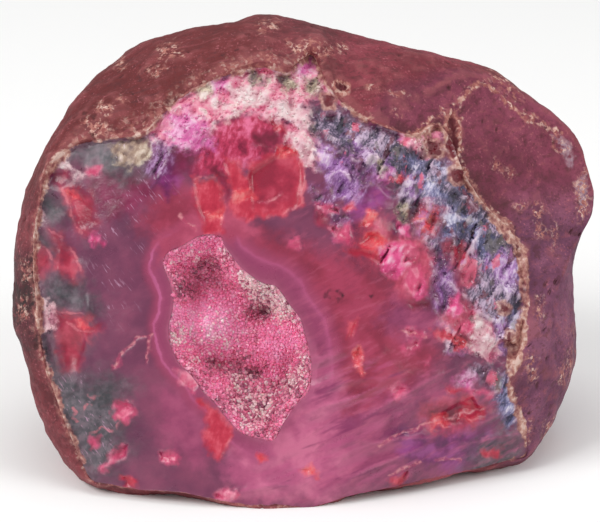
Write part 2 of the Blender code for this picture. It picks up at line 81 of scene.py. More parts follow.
facePatches = {  # parts of the broken face by tone, in the order they are laid on
    "crimson": [
        [(-14, 8), (-8, 6), (0, 3), (6, 1.5), (13, -1), (20.8, -6.7), (24.2, -17.1), (17.3, -27.5),
         (5.2, -33.6), (3.5, -20.6), (3.1, -10.2), (-5.2, -0.2), (-12.1, 4.5)],
        [(-24.2, 14), (-8.7, 10.6), (-10.4, 5), (-16.4, 4.3), (-24.2, 3.6), (-27.7, 6.2)],
    ],
    "mauve": [
        [(0, -31), (20.8, -20.6), (35.5, -24), (34.6, -32.7), (20.8, -37), (5.2, -41.3),
         (-10.4, -41.3), (-12.1, -36.2)],
        [(-24, -22), (-17.3, -21.6), (-14.7, -31), (-17.3, -36), (-24, -31)],
        [(16.4, -6.1), (24.2, -8.5), (26, -11.9), (19, -14.5), (13.8, -10.2)],
    ],
    "blush": [
        [(-25, -1), (-24.5, 4), (-19, 8.5), (-10, 9), (-7.5, 5), (-12, 3), (-17, 4), (-22, 1)],
    ],
    "haze": [
        [(-12, -33), (-6, -32), (-2, -29.5), (1, -24), (4, -20), (7, -21), (8, -26), (7.8, -36.2),
         (5.2, -41.5), (-8.7, -40.6), (-13.8, -36.3)],
    ],
    "ruby": [
        [(-18.6, 20.4), (-13.4, 20.8), (-9.8, 19.4), (-10.6, 15.6), (-13.6, 14.4), (-18.4, 14.8)],
        [(-13.5, 24.4), (-9.5, 25.8), (-4.3, 25.1), (0, 22.7), (2.1, 19.2), (0, 16.1), (-5.2,
         17.5), (-10.4, 16.6), (-15.2, 18.9), (-16.4, 21.8)],
    ],
    "dusk": [
        [(5.2, 12.3), (13.8, 19.2), (24.2, 16.6), (30.3, 5.4), (35.5, -5), (35.5, -13.7), (26,
         -12.8), (20.8, -3.3), (13.8, 1.9), (6.9, 5)],
    ],
    "mulberry": [
        [(-22.4, 19.8), (-18.4, 20.2), (-18.6, 15.2), (-21.8, 15.0)],
        [(-38.5, 15.6), (-33, 16.2), (-27.5, 14.6), (-24, 12.5), (-28, 9), (-33, 7.5), (-35.5, 10)],
    ],
    "smoke": [
        [(34.6, -24.4), (37.4, -23.4), (38.2, -30.5), (35.2, -31.5), (33.4, -28)],
        [(31, -31), (36, -30.6), (38.8, -33), (37, -36.6), (31, -37.6), (28.4, -36)],
        [(-41.5, 18.6), (-38, 20.8), (-33.5, 21.4), (-28, 21), (-25.4, 18), (-26.3, 15.4), (-30.4, 14),
         (-34.9, 15.4), (-38.4, 16.1)],
        [(-45.7, 12.3), (-41.9, 11.6), (-40.5, 8.1), (-42.6, 6.1), (-44.6, 7.4), (-46.4, 9.5)],
        [(-46.4, 5.7), (-43.6, 5), (-41.9, 2.6), (-42.2, 0.9), (-43.9, 1.9), (-46, 3.3)],
        [(-45, -2.6), (-41.5, -1.9), (-38.1, -4.3), (-34.9, -8.5), (-39.8, -8.8), (-43.3, -8.1),
         (-45.3, -5.7)],
        [(-45.7, -10.6), (-42.6, -11.2), (-41.2, -18.2), (-36.3, -20.6), (-33.6, -19.6),
         (-28.7, -21.6), (-30.8, -23.7), (-29.8, -27.9), (-31.1, -30.6), (-29.8, -33), (-33.2, -36.5),
         (-36.3, -38.2), (-39.1, -34.8), (-41.2, -30.3), (-43.6, -25.1), (-45.7, -18.9)],
    ],
    "slate": [
        [(0, 25.8), (6.9, 25.4), (12.8, 22.7), (19.4, 21.6), (22.5, 19.2), (26.8, 15.7), (30.8, 12.3),
         (35.5, 6.2), (38.4, 1), (38.8, -11.9), (37.2, -16.3), (35.5, -15.7), (34.3, -11.9),
         (31.1, -9.9), (28, -6.7), (28.7, -2.6), (24.2, -0.2), (20.8, 3.6), (18.2, 8), (16.4, 12.3),
         (12.1, 15.7), (7.8, 16.6), (5.2, 20.6), (1, 22.3)],
        [(29.8, -18.5), (34.6, -18.9), (37.4, -23.4), (34.4, -24.4)],
    ],
    "amethyst": [
        [(17, -29.0), (26, -29.6), (33.4, -28.0), (34.2, -33.0), (27, -36.4), (17, -34.4)],
        [(9, 12), (12, 13.2), (16, 12.2), (14.5, 9.4), (11, 7.2), (8, 8)],
        [(-25.5, 19.5), (-22, 19), (-20.5, 14), (-23, 11), (-26, 14)],
    ],
    "violet": [
        [(22.2, 0.2), (24.7, 3.2), (26.8, -0.8), (26.8, -5.9), (24.7, -9.4), (22.7, -5.9)],
        [(6.9, 19.2), (11.4, 19.2), (13.1, 14.7), (9, 11.2), (6.9, 12.6)],
        [(2.1, 13), (5.9, 10.6), (8.3, 7.8), (6.2, 5), (3.1, 8.1)],
        [(-25.6, 20.6), (-23.5, 21.3), (-22.8, 17.5), (-24.6, 13.7), (-26.3, 16.1)],
    ],
    "periwinkle": [
        [(23.7, 10.4), (27.3, 9.3), (28.3, 6.3), (26.8, 3.2), (24.2, 2.2), (23.2, 6.3)],
        [(35.6, 1.0), (38.2, 0.4), (38.0, -3.6), (36.2, -4.4), (35.0, -1.6)],
        [(28, 8), (31, 7.2), (34, 3), (33, -0.5), (29.6, 2.4)],
        [(24, 17), (28, 15.2), (29.8, 11.8), (26.6, 12.6)],
        [(20.5, 13.6), (23.6, 14.2), (25.4, 11.2), (22.6, 9.4)],
        [(34.6, -9.6), (37.6, -8.8), (37.6, -14), (35.4, -14.6)],
        [(33, -20), (37, -20), (38.4, -27), (36, -29), (34, -25)],
        [(17.6, 18.0), (21.0, 17.6), (22.0, 15.4), (19.0, 15.2)],
    ],
    "lilac": [
        [(0.8, 20.5), (4.4, 20), (8.4, 16), (10.5, 10.9), (9.2, 9.8), (6.4, 11.4), (4.4, 15.4)],
        [(8.5, 21.6), (10.2, 21.2), (10.6, 19.4), (9.2, 19)],
        [(11.4, 18.2), (15.2, 17.8), (15.6, 15.1), (12.5, 14)],
        [(24.2, -1.2), (26, -1.2), (25.3, -8.8), (23.9, -8.1)],
        [(18, 15.4), (20.4, 14.4), (20.1, 11.2), (17.6, 12.3)],
        [(-25.6, 23), (-20.8, 23), (-18, 21.3), (-20.8, 19.9), (-24.9, 20.6)],
        [(33.6, -10.6), (37.4, -10.2), (36, -15.4), (33.9, -15.7)],
        [(31.8, -0.2), (34.6, 1.2), (38.1, -0.2), (37.4, -5), (34.6, -4)],
        [(24.4, -10.4), (28.2, -10.0), (28.8, -15.6), (25.6, -15.2)],
    ],
    "sugar": [
        [(-26, 22.3), (-23.2, 25.8), (-21.1, 28.2), (-18, 30.3), (-13.5, 31.3), (-8.7, 33.4),
         (-4.2, 33), (0, 34.8), (2.4, 35.5), (4.5, 30.6), (3.1, 28.5), (-1.4, 25.1), (-4.2, 23.7),
         (-8.7, 25.8), (-13.5, 24.4), (-16.6, 21.6), (-20.8, 20.2), (-24.9, 20.6)],
        [(-2.4, 23.8), (0.7, 24.5), (3.0, 19.6), (2.2, 16.2), (0, 17.8), (-2.0, 20.8)],
        [(3.5, 30.6), (5.9, 30.6), (7.3, 27.2), (4.5, 27.2)],
        [(17.4, 22.7), (22.5, 25.1), (25.6, 24.4), (25.3, 21), (22.5, 18.2), (18, 19.8)],
        [(29.4, -10.6), (32.5, -9.9), (34.6, -15.7), (33.6, -17.1), (29.8, -16.1), (28.4, -14)],
        [(21.5, 24), (25.3, 27.2), (26.3, 25.1), (23.5, 23)],
    ],
    "magenta": [
        [(-23.2, 24.7), (-19, 26.1), (-15.9, 23.7), (-16.6, 20.2), (-19.7, 18.9), (-22.5, 20.9)],
        [(-19.0, 21.5), (-14.8, 21.2), (-15.2, 19.2), (-18.2, 18.8)],
        [(-1.7, 35.1), (2.4, 35.8), (3.1, 33), (0, 31.7)],
        [(13.1, 14.7), (15.6, 15.4), (15.2, 13.7)],
        [(27.7, -19.9), (30.1, -19.9), (29.4, -22), (27.3, -21.3)],
        [(-15.6, 31.3), (-12.8, 31.7), (-12.5, 29.6), (-15.2, 28.9)],
    ],
    "olive": [
        [(-18, 30.6), (-16.3, 31.3), (-15.2, 29.2), (-17.3, 28.5)],
        [(-9.3, 33), (-6.6, 33.7), (-5.4, 31.0), (-8.3, 30.3)],
        [(-4.2, 32), (-1.4, 33), (-0.3, 29.9), (-2.8, 29.2)],
        [(0.5, 31.6), (3.1, 31.5), (3.8, 29.2), (1.2, 28.5)],
        [(12.8, 17.8), (14.5, 17.5), (14.5, 15.4), (13.1, 15.4)],
        [(16.6, 9.5), (18.7, 10.2), (19.4, 7.4), (17.3, 6.7)],
    ],
    "soot": [
        [(3.7, -5.9), (4.5, -6.0), (4.1, -6.7)], [(4.3, -5.2), (5.1, -5.4), (4.6, -6.0)],
        [(5.2, -4.8), (5.8, -5.0), (5.3, -5.5)], [(6.0, -5.2), (6.6, -5.1), (6.4, -5.8)],
        [(7.0, -5.6), (7.7, -5.8), (7.1, -6.4)], [(6.2, -6.3), (6.9, -6.3), (6.6, -7.0)],
        [(5.0, -6.0), (5.7, -6.2), (5.2, -6.8)], [(11.8, -5.6), (12.8, -5.6), (12.3, -6.8)],
    ],
    "tan": [
        [(-33.2, 19.8), (-31.1, 20.8), (-26.6, 20.6), (-25.2, 19), (-26.6, 17.2), (-29.2, 16.2),
         (-31.8, 17.2)],
    ],
    "coral": [
        [(7.5, 1.2), (10.5, 6.5), (14, 8.6), (16.5, 5), (21, 4.2), (23, 0.5), (22.6, -4.6), (20, -7.2),
         (17, -5.4), (15, -2.6), (12, -0.8)],
        [(24, -10), (28, -6), (31, -9), (30.5, -14), (27, -15.5)],
        [(26.4, 1), (29, 2.6), (30.4, -3), (28, -4.6)],
        [(19.5, 8), (22, 10.4), (25, 8.6), (23.5, 4.6), (20.4, 5)],
        [(21, -25), (28, -22.8), (33, -25.5), (29, -29), (22, -29.5)],
    ],
    "wine": [
        [(-7.6, 22.6), (-4.4, 22.8), (-2.4, 21.4), (-2.6, 19.8), (-5.5, 18.9), (-8.4, 20.2)],
        [(-43.3, 15.7), (-40.1, 15.7), (-39.6, 14), (-41.2, 12.8), (-43.1, 13.5)],
        [(2.4, 9.5), (5.5, 8.1), (5.2, 5), (2.8, 6.7)],
        [(21.5, -26.5), (26.6, -24), (29.1, -26.1), (26.3, -27.9), (22.8, -28.2)],
        [(-14.9, 16.1), (-12.1, 14.7), (-11.4, 11.2), (-12.8, 10.6), (-14.2, 13.3)],
        [(-48.8, 3.6), (-47.4, 4.3), (-46.7, -6.7), (-46, -15.4), (-47.4, -15.7), (-48.8, -6.7)],
        [(24.2, 3.6), (27, 4.3), (27.3, 1.6), (24.9, 0.5)],
        [(27, -13), (29.4, -12.6), (29.1, -14.7), (27.3, -14.7)],
        [(18, -6.7), (22.5, -6.7), (22.1, -8.1), (18.7, -8.1)],
    ],
    "fuchsia": [
        [(13.5, 2.8), (18.5, 2.6), (19.2, -0.5), (17, -2.8), (14.4, -2.0), (13, 0.7)],
        [(19.4, -4.2), (21.4, -3.4), (21.8, -5.6), (20, -6.4)],
        [(26, -7), (27.3, -5.9), (28.3, -8.5), (26.8, -9.5), (25.7, -9)],
        [(16.6, 6.6), (19.0, 5.6), (18.8, 4.2), (17.2, 4.6)],
        [(-36.8, 3.2), (-36.2, 4.6), (-34.8, 4.4), (-34.3, 3.2), (-35.6, 2.6)],
    ],
    "cherry": [
        [(-8.7, 16.8), (-4.5, 18.9), (-1.4, 19.9), (1, 16.1), (0.3, 9.5), (-3.5, 7.8), (-8.7, 7.1),
         (-11.8, 7.8), (-12.5, 10.2), (-9.7, 12.3)],
        [(-18.7, 14.7), (-17, 13.7), (-14.5, 14.7), (-13.5, 12.6), (-13, 8.8), (-13.5, 4.8),
         (-16.3, 4.8), (-17.3, 7.8), (-18.3, 10.9)],
        [(-13.5, 18.2), (-11.1, 17.5), (-9.2, 14.7), (-7.4, 11.6), (-8, 10.4), (-10.9, 10.2),
         (-12.1, 13)],
        [(-17.6, -23.4), (-13.5, -26.1), (-11.6, -29.2), (-12.1, -31.3), (-13.8, -34.3),
         (-15.7, -33.4), (-16.8, -30.6), (-16.3, -27.9)],
        [(7.4, 1.2), (10, 2), (13.5, 1.7), (14, -0.3), (11, 0.7)],
        [(26.8, 2.2), (28.3, 3.2), (29.2, 0.7), (28, -0.8), (26.8, 0.2)],
        [(22.5, -12.1), (26, -11.4), (27.2, -13.7), (24.6, -13.8)],
        [(28, -24.4), (30.1, -23.5), (31.1, -25.4), (32.4, -26.5), (29.4, -28.4), (27.3, -27.5)],
        [(-30.8, -37.2), (-29.1, -36.9), (-28.2, -37.9), (-28.7, -39.6), (-30.4, -39.3)],
        [(8.3, -10.6), (10, -10.2), (9.3, -13.1), (8.3, -13.1)],
        [(25.3, -21.6), (28, -22), (27, -22.8), (25.3, -22.5)],
        [(31.5, -33), (35.1, -32.4), (34.3, -33.9), (31.8, -33.9)],
        [(15.2, -38.6), (18.7, -36), (17.6, -39.1)],
        [(-5.5, 25.1), (-2.8, 24), (-2.4, 22), (-4.8, 22.7)],
        [(7.6, 9.5), (9, 10), (9.7, 9), (8, 8.5)],
    ],
    "rose": [
        [(-32.2, -25.4), (-31.3, -24.2), (-29.9, -24), (-28.7, -25.1), (-28.9, -26.8), (-30.4, -28.2),
         (-31.7, -27.5)],
        [(-36.3, -31), (-34.9, -30.4), (-34.8, -32), (-36, -32.4)],
        [(-32.5, -33.4), (-30.8, -31.7), (-29.8, -31.7), (-30.3, -33.9), (-32.2, -35.1),
         (-34.3, -36.5), (-34.6, -35.8)],
        [(-24.2, -33), (-20.8, -33.4), (-21.5, -35.3), (-24.2, -34.6)],
        [(17.9, 3.2), (19.4, 3.6), (20.5, 1.2), (19.1, -0.3), (17.9, -0.3)],
        [(18.1, -0.8), (20.7, -0.3), (21.7, -2.9), (20.2, -5.9), (17.9, -4.4)],
        [(4.9, 6.0), (8.2, 6.3), (9.2, 4.2), (8.4, 3.0), (6.4, 3.7)],
        [(28.8, -0.8), (30.3, -1.3), (29.8, -3.9), (28.5, -4.4)],
        [(28.3, -10), (29.8, -8.5), (30.8, -11), (29.3, -13), (28, -12)],
        [(-21.5, -18.9), (-19, -18.7), (-16.8, -20.6), (-18.3, -22.5), (-20.4, -21.5)],
        [(17.3, -15.1), (20.8, -13.7), (20.4, -15.1), (18, -16.1)],
        [(18, -11.8), (21.8, -12.3), (21.8, -13.1), (18.7, -12.8)],
        [(-1.7, 3.6), (-0.3, 4.2), (0.3, 2.6), (0, 2.1), (-1.7, 2.1)],
        [(15.6, -22), (17.1, -21.5), (18.7, -22), (18.2, -23.2), (16.6, -24)],
        [(-14.9, -40.3), (-13.5, -39.6), (-11.1, -39.6), (-10.6, -40.7), (-12.8, -41.7),
         (-14.5, -41.3)],
        [(2.6, 9.8), (6.9, 9.5), (6.9, 8.3), (3, 8.5)],
        [(29.4, -22), (34.6, -22.7), (32.9, -23.4), (29.8, -22.8)],
        [(-7.6, 33.4), (-5.5, 34.1), (-4.8, 32.7), (-6.9, 32)],
        [(21.5, -17.5), (22.8, -16.8), (22.5, -18.2)],
        [(-32.5, -18.2), (-31.1, -17.1), (-31.5, -18.3), (-32.5, -18.9)],
        [(-36.7, 16.4), (-34.6, 16.1), (-34.9, 14.7), (-37, 15.1)],
    ],
    "brick": [
        [(-41.2, 12.6), (-38.8, 13), (-36.3, 11.2), (-35.3, 8.8), (-35.3, 6.7), (-36.7, 5.4),
         (-37.4, 4), (-38.8, 7.1), (-40.1, 9.9)],
        [(-42.6, -8.8), (-39.1, -9.3), (-36.7, -9.9), (-36, -11.2), (-34.3, -11.2), (-35.3, -12.5),
         (-37, -13.1), (-37.4, -15.4), (-38.4, -18.5), (-40.8, -19), (-41.5, -16.1), (-42.2, -11.9)],
        [(-43.3, 5.4), (-41.5, 4.7), (-39.4, 1.2), (-38.1, -1.6), (-38.8, -3.5), (-40.8, -2.4),
         (-42.6, -0.9), (-42, 1.2)],
        [(-47.4, 2.6), (-43.6, 1.9), (-43.3, -0.9), (-45, -2.9), (-47.2, -2.2)],
        [(-7.5, 15.5), (-5.5, 17.6), (-2.2, 18), (0, 15.6), (-0.8, 9.8), (-4.5, 9), (-8, 9.6)],
    ],
    "scarlet": [
        [(10, 3.2), (11.6, 4.8), (13.5, 5), (15, 3.5), (14.4, 2.2), (13, 1.7), (11, 2.0)],
        [(10.5, 6.3), (12.0, 8.6), (13.5, 8.3), (13.0, 7.0), (11.6, 5.8)],
        [(20.7, 7.3), (21.9, 9.1), (23.7, 8.6), (23.5, 6.8), (22.2, 5.3), (20.9, 5.5)],
        [(-4.2, 19.9), (-1, 20.1), (-0.3, 18.5), (-2.4, 17.8), (-4.2, 18.5)],
        [(-11.4, 12.3), (-8.7, 12.6), (-7.6, 10.9), (-10.7, 10.2)],
        [(22.5, -27.2), (25.3, -26.5), (26.1, -28.4), (23.2, -28.9)],
        [(-0.2, -36.2), (2.2, -35.1), (2.8, -37.4), (0.7, -36.9)],
        [(-7.4, -33.4), (-6.2, -33.6), (-5.9, -34.4), (-7.3, -34.6)],
        [(9.2, -15.7), (10.4, -14.7), (11.1, -19.2), (10.4, -19.7)],
        [(16.3, 14), (17.3, 15.1), (18.2, 14.5), (17.6, 13.3)],
        [(-16.6, 8.5), (-13.5, 8.5), (-13.5, 7.4), (-16.3, 7.4)],
        [(-40.5, 11.9), (-39.1, 12.3), (-38.1, 10.9), (-39.4, 10.6)],
        [(-39.1, -9.9), (-36.7, -10.2), (-36.3, -11.4), (-38.4, -11.2)],
        [(26.3, -13.3), (28.4, -13.7), (28.7, -15.7), (26.8, -15.1)],
    ],
    "cream": [
        [(-45, -7.1), (-43.6, -6.9), (-42.2, -9.2), (-42.7, -11.9), (-44.6, -12.3), (-45.3, -9.5)],
        [(-2.4, 21.8), (1.2, 21.4), (2.8, 18.6), (2.0, 16.6), (-0.2, 18.2)],
        [(-12.5, 29.9), (-9, 30.3), (-3.5, 28.2), (-0.7, 28.5), (-0.7, 26.8), (-3.5, 25.8),
         (-8.7, 27.2), (-11.8, 27.9)],
        [(29.2, -10.0), (31.4, -9.6), (32.6, -12.0), (34.4, -15.4), (31.4, -16.6), (29.4, -14.6),
         (30.2, -12.4)],
        [(23.5, 25.1), (25.3, 26.5), (26, 25.4), (24.6, 24)],
        [(-5.6, 25.0), (-1.6, 27.2), (1.2, 26.6), (2.4, 24.0), (0.6, 22.4), (-2.0, 24.0)],
        [(-15.5, 27.5), (-13.0, 28.4), (-12.4, 26.4), (-14.6, 25.6)],
        [(-45.7, -17.5), (-43.9, -17.1), (-42.9, -20.6), (-43.9, -21.3)],
        [(-44.3, 16.1), (-41.5, 17.5), (-38.8, 15.7), (-37.7, 14.7), (-39.8, 15.4), (-42.2, 16.4)],
        [(-46.4, 9.5), (-45.3, 9.9), (-44.3, 6.7), (-45, 5), (-46.4, 6.4)],
    ],
}
rindPatches = {  # scuffs on the rind, and the ringed cells beside the notch
    "fleck": [
        [(-24.6, 36.5), (-22.5, 37.5), (-20.6, 37.4), (-20.8, 35.5), (-23.9, 34.9)],
        [(-27.7, 32.7), (-26, 33.4), (-23.2, 33.6), (-24.2, 32.2)],
        [(-35.8, 26.5), (-33.9, 27.5), (-32.5, 26.8), (-32.7, 25.4), (-34.6, 25.4)],
        [(-37.4, 24.4), (-34.6, 24.7), (-32.9, 22.3), (-35.3, 20.9), (-37.4, 22)],
        [(-31.8, 34.4), (-30.8, 35.1), (-30.1, 34.1), (-31.5, 33.4)],
        [(-7.8, 40.7), (-5.9, 41.5), (-3.6, 41.3), (-4.2, 40), (-6.9, 39.8)],
        [(-6.2, 34.8), (-5.5, 35.5), (-4.2, 35.3), (-4.8, 34.1)],
        [(11.8, 30.3), (13.1, 30.3), (13.8, 29.2), (12.5, 29.2)],
        [(15.6, 29.4), (18, 29.4), (18.5, 28.7), (16.3, 28.5)],
        [(15.9, 26), (17.1, 26), (17.3, 25.4), (16.3, 25.3)],
        [(32.9, 32.7), (34.9, 32.2), (37, 30.6), (38.2, 29.2), (38.1, 27.7), (36, 29.1), (33.6, 31.1)],
        [(38.8, 25.3), (40.1, 24.7), (41.7, 23.5), (40.5, 23.4)],
        [(43.6, 20.9), (45, 21.3), (46.4, 19.7), (46.4, 18), (44.6, 18.9)],
        [(33.2, 17.1), (34.3, 17.5), (34.9, 16.1), (33.6, 15.7)],
        [(35.6, 15.7), (36.7, 15.4), (36.3, 14)],
        [(40.1, 8.8), (41.5, 9.9), (42.2, 8.5), (40.8, 7.3)],
        [(37.4, 9.5), (39.1, 10.2), (39.4, 9.2), (37.7, 8.5)],
        [(41.2, 6.7), (41.9, 6.7), (41.9, 4.3), (41.3, 3.6)],
        [(43.6, 6.1), (44.3, 6.1), (44.1, 1.6), (43.6, 1.9)],
        [(47.8, 13), (49.1, 15.7), (50.2, 12.6), (49.8, 8.8), (48.4, 6.7)],
        [(40.8, -6.7), (41.7, -6.1), (41.7, -9.5), (41, -10.2)],
        [(39.1, -16.8), (40.1, -15.4), (41.2, -19.2), (40.1, -21.3)],
        [(46, -11.9), (47.4, -11.2), (47.4, -12.6)],
        [(45, -18.9), (47.1, -15.4), (46.7, -19.2), (45.3, -21.6)],
        [(41.5, -29.2), (44.3, -26.8), (43.6, -28.9), (42.2, -30.3)],
        [(38.1, -31), (39.8, -27.5), (39.8, -31), (38.8, -32.4)],
        [(-48.8, -6.7), (-47.8, -6.1), (-47.4, -9.9), (-48.4, -10.6)],
        [(-48.1, -0.2), (-47.2, 0.5), (-47.1, -2.6), (-47.9, -3.3)],
        [(3.5, 36.5), (5.2, 36.9), (5.9, 35.8), (4.2, 35.5)],
        [(6.6, 37.2), (8, 37.2), (8, 36.5), (6.7, 36.5)],
        [(-2.4, 38.2), (-0.3, 37.5), (-0.7, 36.5), (-2.1, 37)],
        [(-31.1, 28.5), (-30.1, 28.5), (-30.1, 27.7), (-31, 27.7)],
        [(-1.5, 37.0), (1.5, 38.6), (4.0, 37.6), (3.6, 34.8), (0.5, 34.6)],
    ],
    "chalk": [
        [(43.8, 21.6), (46.0, 21.4), (47.6, 18.2), (47.0, 16.0), (45.6, 17.6)],
        [(47.6, 13.6), (49.4, 15.4), (50.0, 10.6), (48.6, 8.6)],
    ],
    "ring": [
        [(21.8, 20.6), (22.5, 20.8), (24.6, 20.4), (24.7, 18.9), (23.9, 18.2), (22.1, 18.3)],
        [(25.3, 24.7), (26.3, 25.8), (27.5, 24.4), (27.5, 18.2), (26.3, 17.8), (25.4, 19.2)],
        [(25.8, 15.7), (27, 16.4), (28.4, 15.7), (28.4, 13.7), (27, 13.5), (26, 14.4)],
        [(3.8, 28.5), (4.8, 28.9), (5.9, 28), (5.7, 26.6), (4.3, 26.6)],
        [(5.9, 30.6), (6.9, 31.3), (8.3, 30.6), (8.3, 29.2), (6.9, 28.9)],
        [(34.6, -7.6), (35.6, -7.3), (36.2, -8.3), (35.4, -9.1), (34.6, -8.7)],
        [(37, 3.2), (38, 3.4), (38.4, 2.2), (37.4, 1.8)],
        [(35.8, -12.3), (36.8, -12.3), (37, -14), (36, -14.4)],
    ],
}
fineLines = {  # open lines: chipped seams on the rind, cracks in the face
    "seam": [
        [(5.2, 25.8), (7.8, 24.7), (10.4, 23.7), (13.8, 23), (17.3, 22.1), (19.4, 21.5), (21.5, 23.4),
         (23.2, 24.9), (24.9, 25.8), (26.6, 25.8), (27.3, 27.5), (28, 28.7), (29.4, 29.9),
         (30.8, 30.8), (32.2, 30.6), (33.6, 29.4), (35.3, 28.4), (37, 26.6), (39.1, 25.1),
         (40.8, 23.9), (43.3, 23), (45, 22)],
        [(19.4, 21.5), (21.5, 20.9), (24.9, 20.4), (25.3, 17.5), (26.3, 17), (28.5, 15.7),
         (28.7, 13.7), (30.8, 11.2), (32.9, 8.1), (35.5, 7.1), (36.7, 6.1)],
        [(25.3, 24.4), (25.3, 19.2)],
        [(27.5, 24.4), (27.7, 17.5)],
    ],
    "crack": [
        [(13.8, -31.8), (17.6, -29.9), (21.1, -28.5), (22.5, -27.9)],
        [(22.5, -27.9), (26, -27.2), (28.7, -26.3), (31.8, -25.6)],
        [(15.6, -36.9), (18, -35.8), (20.8, -34.9)],
        [(-26, -13), (-26, -15.4), (-26.6, -17.6)],
        [(-25.6, -12.6), (-28.4, -13.7), (-31.1, -16.4), (-32.5, -18.5)],
        [(-7.3, 10.2), (-5.9, 10), (-4.2, 10.9), (-3.3, 11.9)],
        [(-18, 5.5), (-19.7, 6.7), (-20.8, 8.1)],
        [(23.2, -34.4), (25.3, -34.1), (27.7, -34.4)],
        [(17.6, -12.3), (20.1, -12.8), (22.1, -13.1)],
    ],
    "edge": [
        [(-41.0, 12.6), (-39.3, 7.4), (-37.9, 4.7)],
        [(-42.5, -9.0), (-39.6, -8.9), (-36.9, -9.5), (-34.3, -11.4)],
        [(-40.4, -10.6), (-38.4, -11.9), (-35.8, -12.1)],
        [(-43.2, 5.4), (-41.0, 4.0), (-39.0, 0.8), (-38.0, -1.6)],
        [(-18.2, 13.9), (-16.8, 14.6), (-14.6, 14.4)],
        [(-0.4, 18.9), (0.9, 15.6), (0.4, 10.2), (-1.2, 8.8)],
        [(27.2, -26.8), (29.4, -26.0), (32.2, -25.2)],
        [(-47.0, 3.4), (-44.0, 2.4), (-42.8, 0.4)],
        [(-36.7, -22.7), (-35.6, -23.7), (-33.9, -23.4), (-32.9, -22.3)],
        [(-39.4, -25.4), (-38.8, -26.1), (-39.3, -27.2), (-38.2, -28.0)],
        [(-37.4, -25.8), (-36.7, -24.7), (-35.9, -24.9)],
        [(-31.5, -26.5), (-31.3, -27.9), (-31.8, -29.2)],
        [(-36.2, -30.0), (-34.4, -28.8), (-32.4, -29.4)],
    ],
}

coarseTones = ("slate", "violet", "periwinkle", "lilac", "magenta", "fuchsia")
sugarTones = ("sugar", "olive", "tan")
chipTones = ("cherry", "rose", "scarlet", "wine", "brick")
brokenTones = coarseTones + sugarTones + ("cream",)
sharpTones = brokenTones + chipTones + ("smoke",)  # their ground needs fine faces

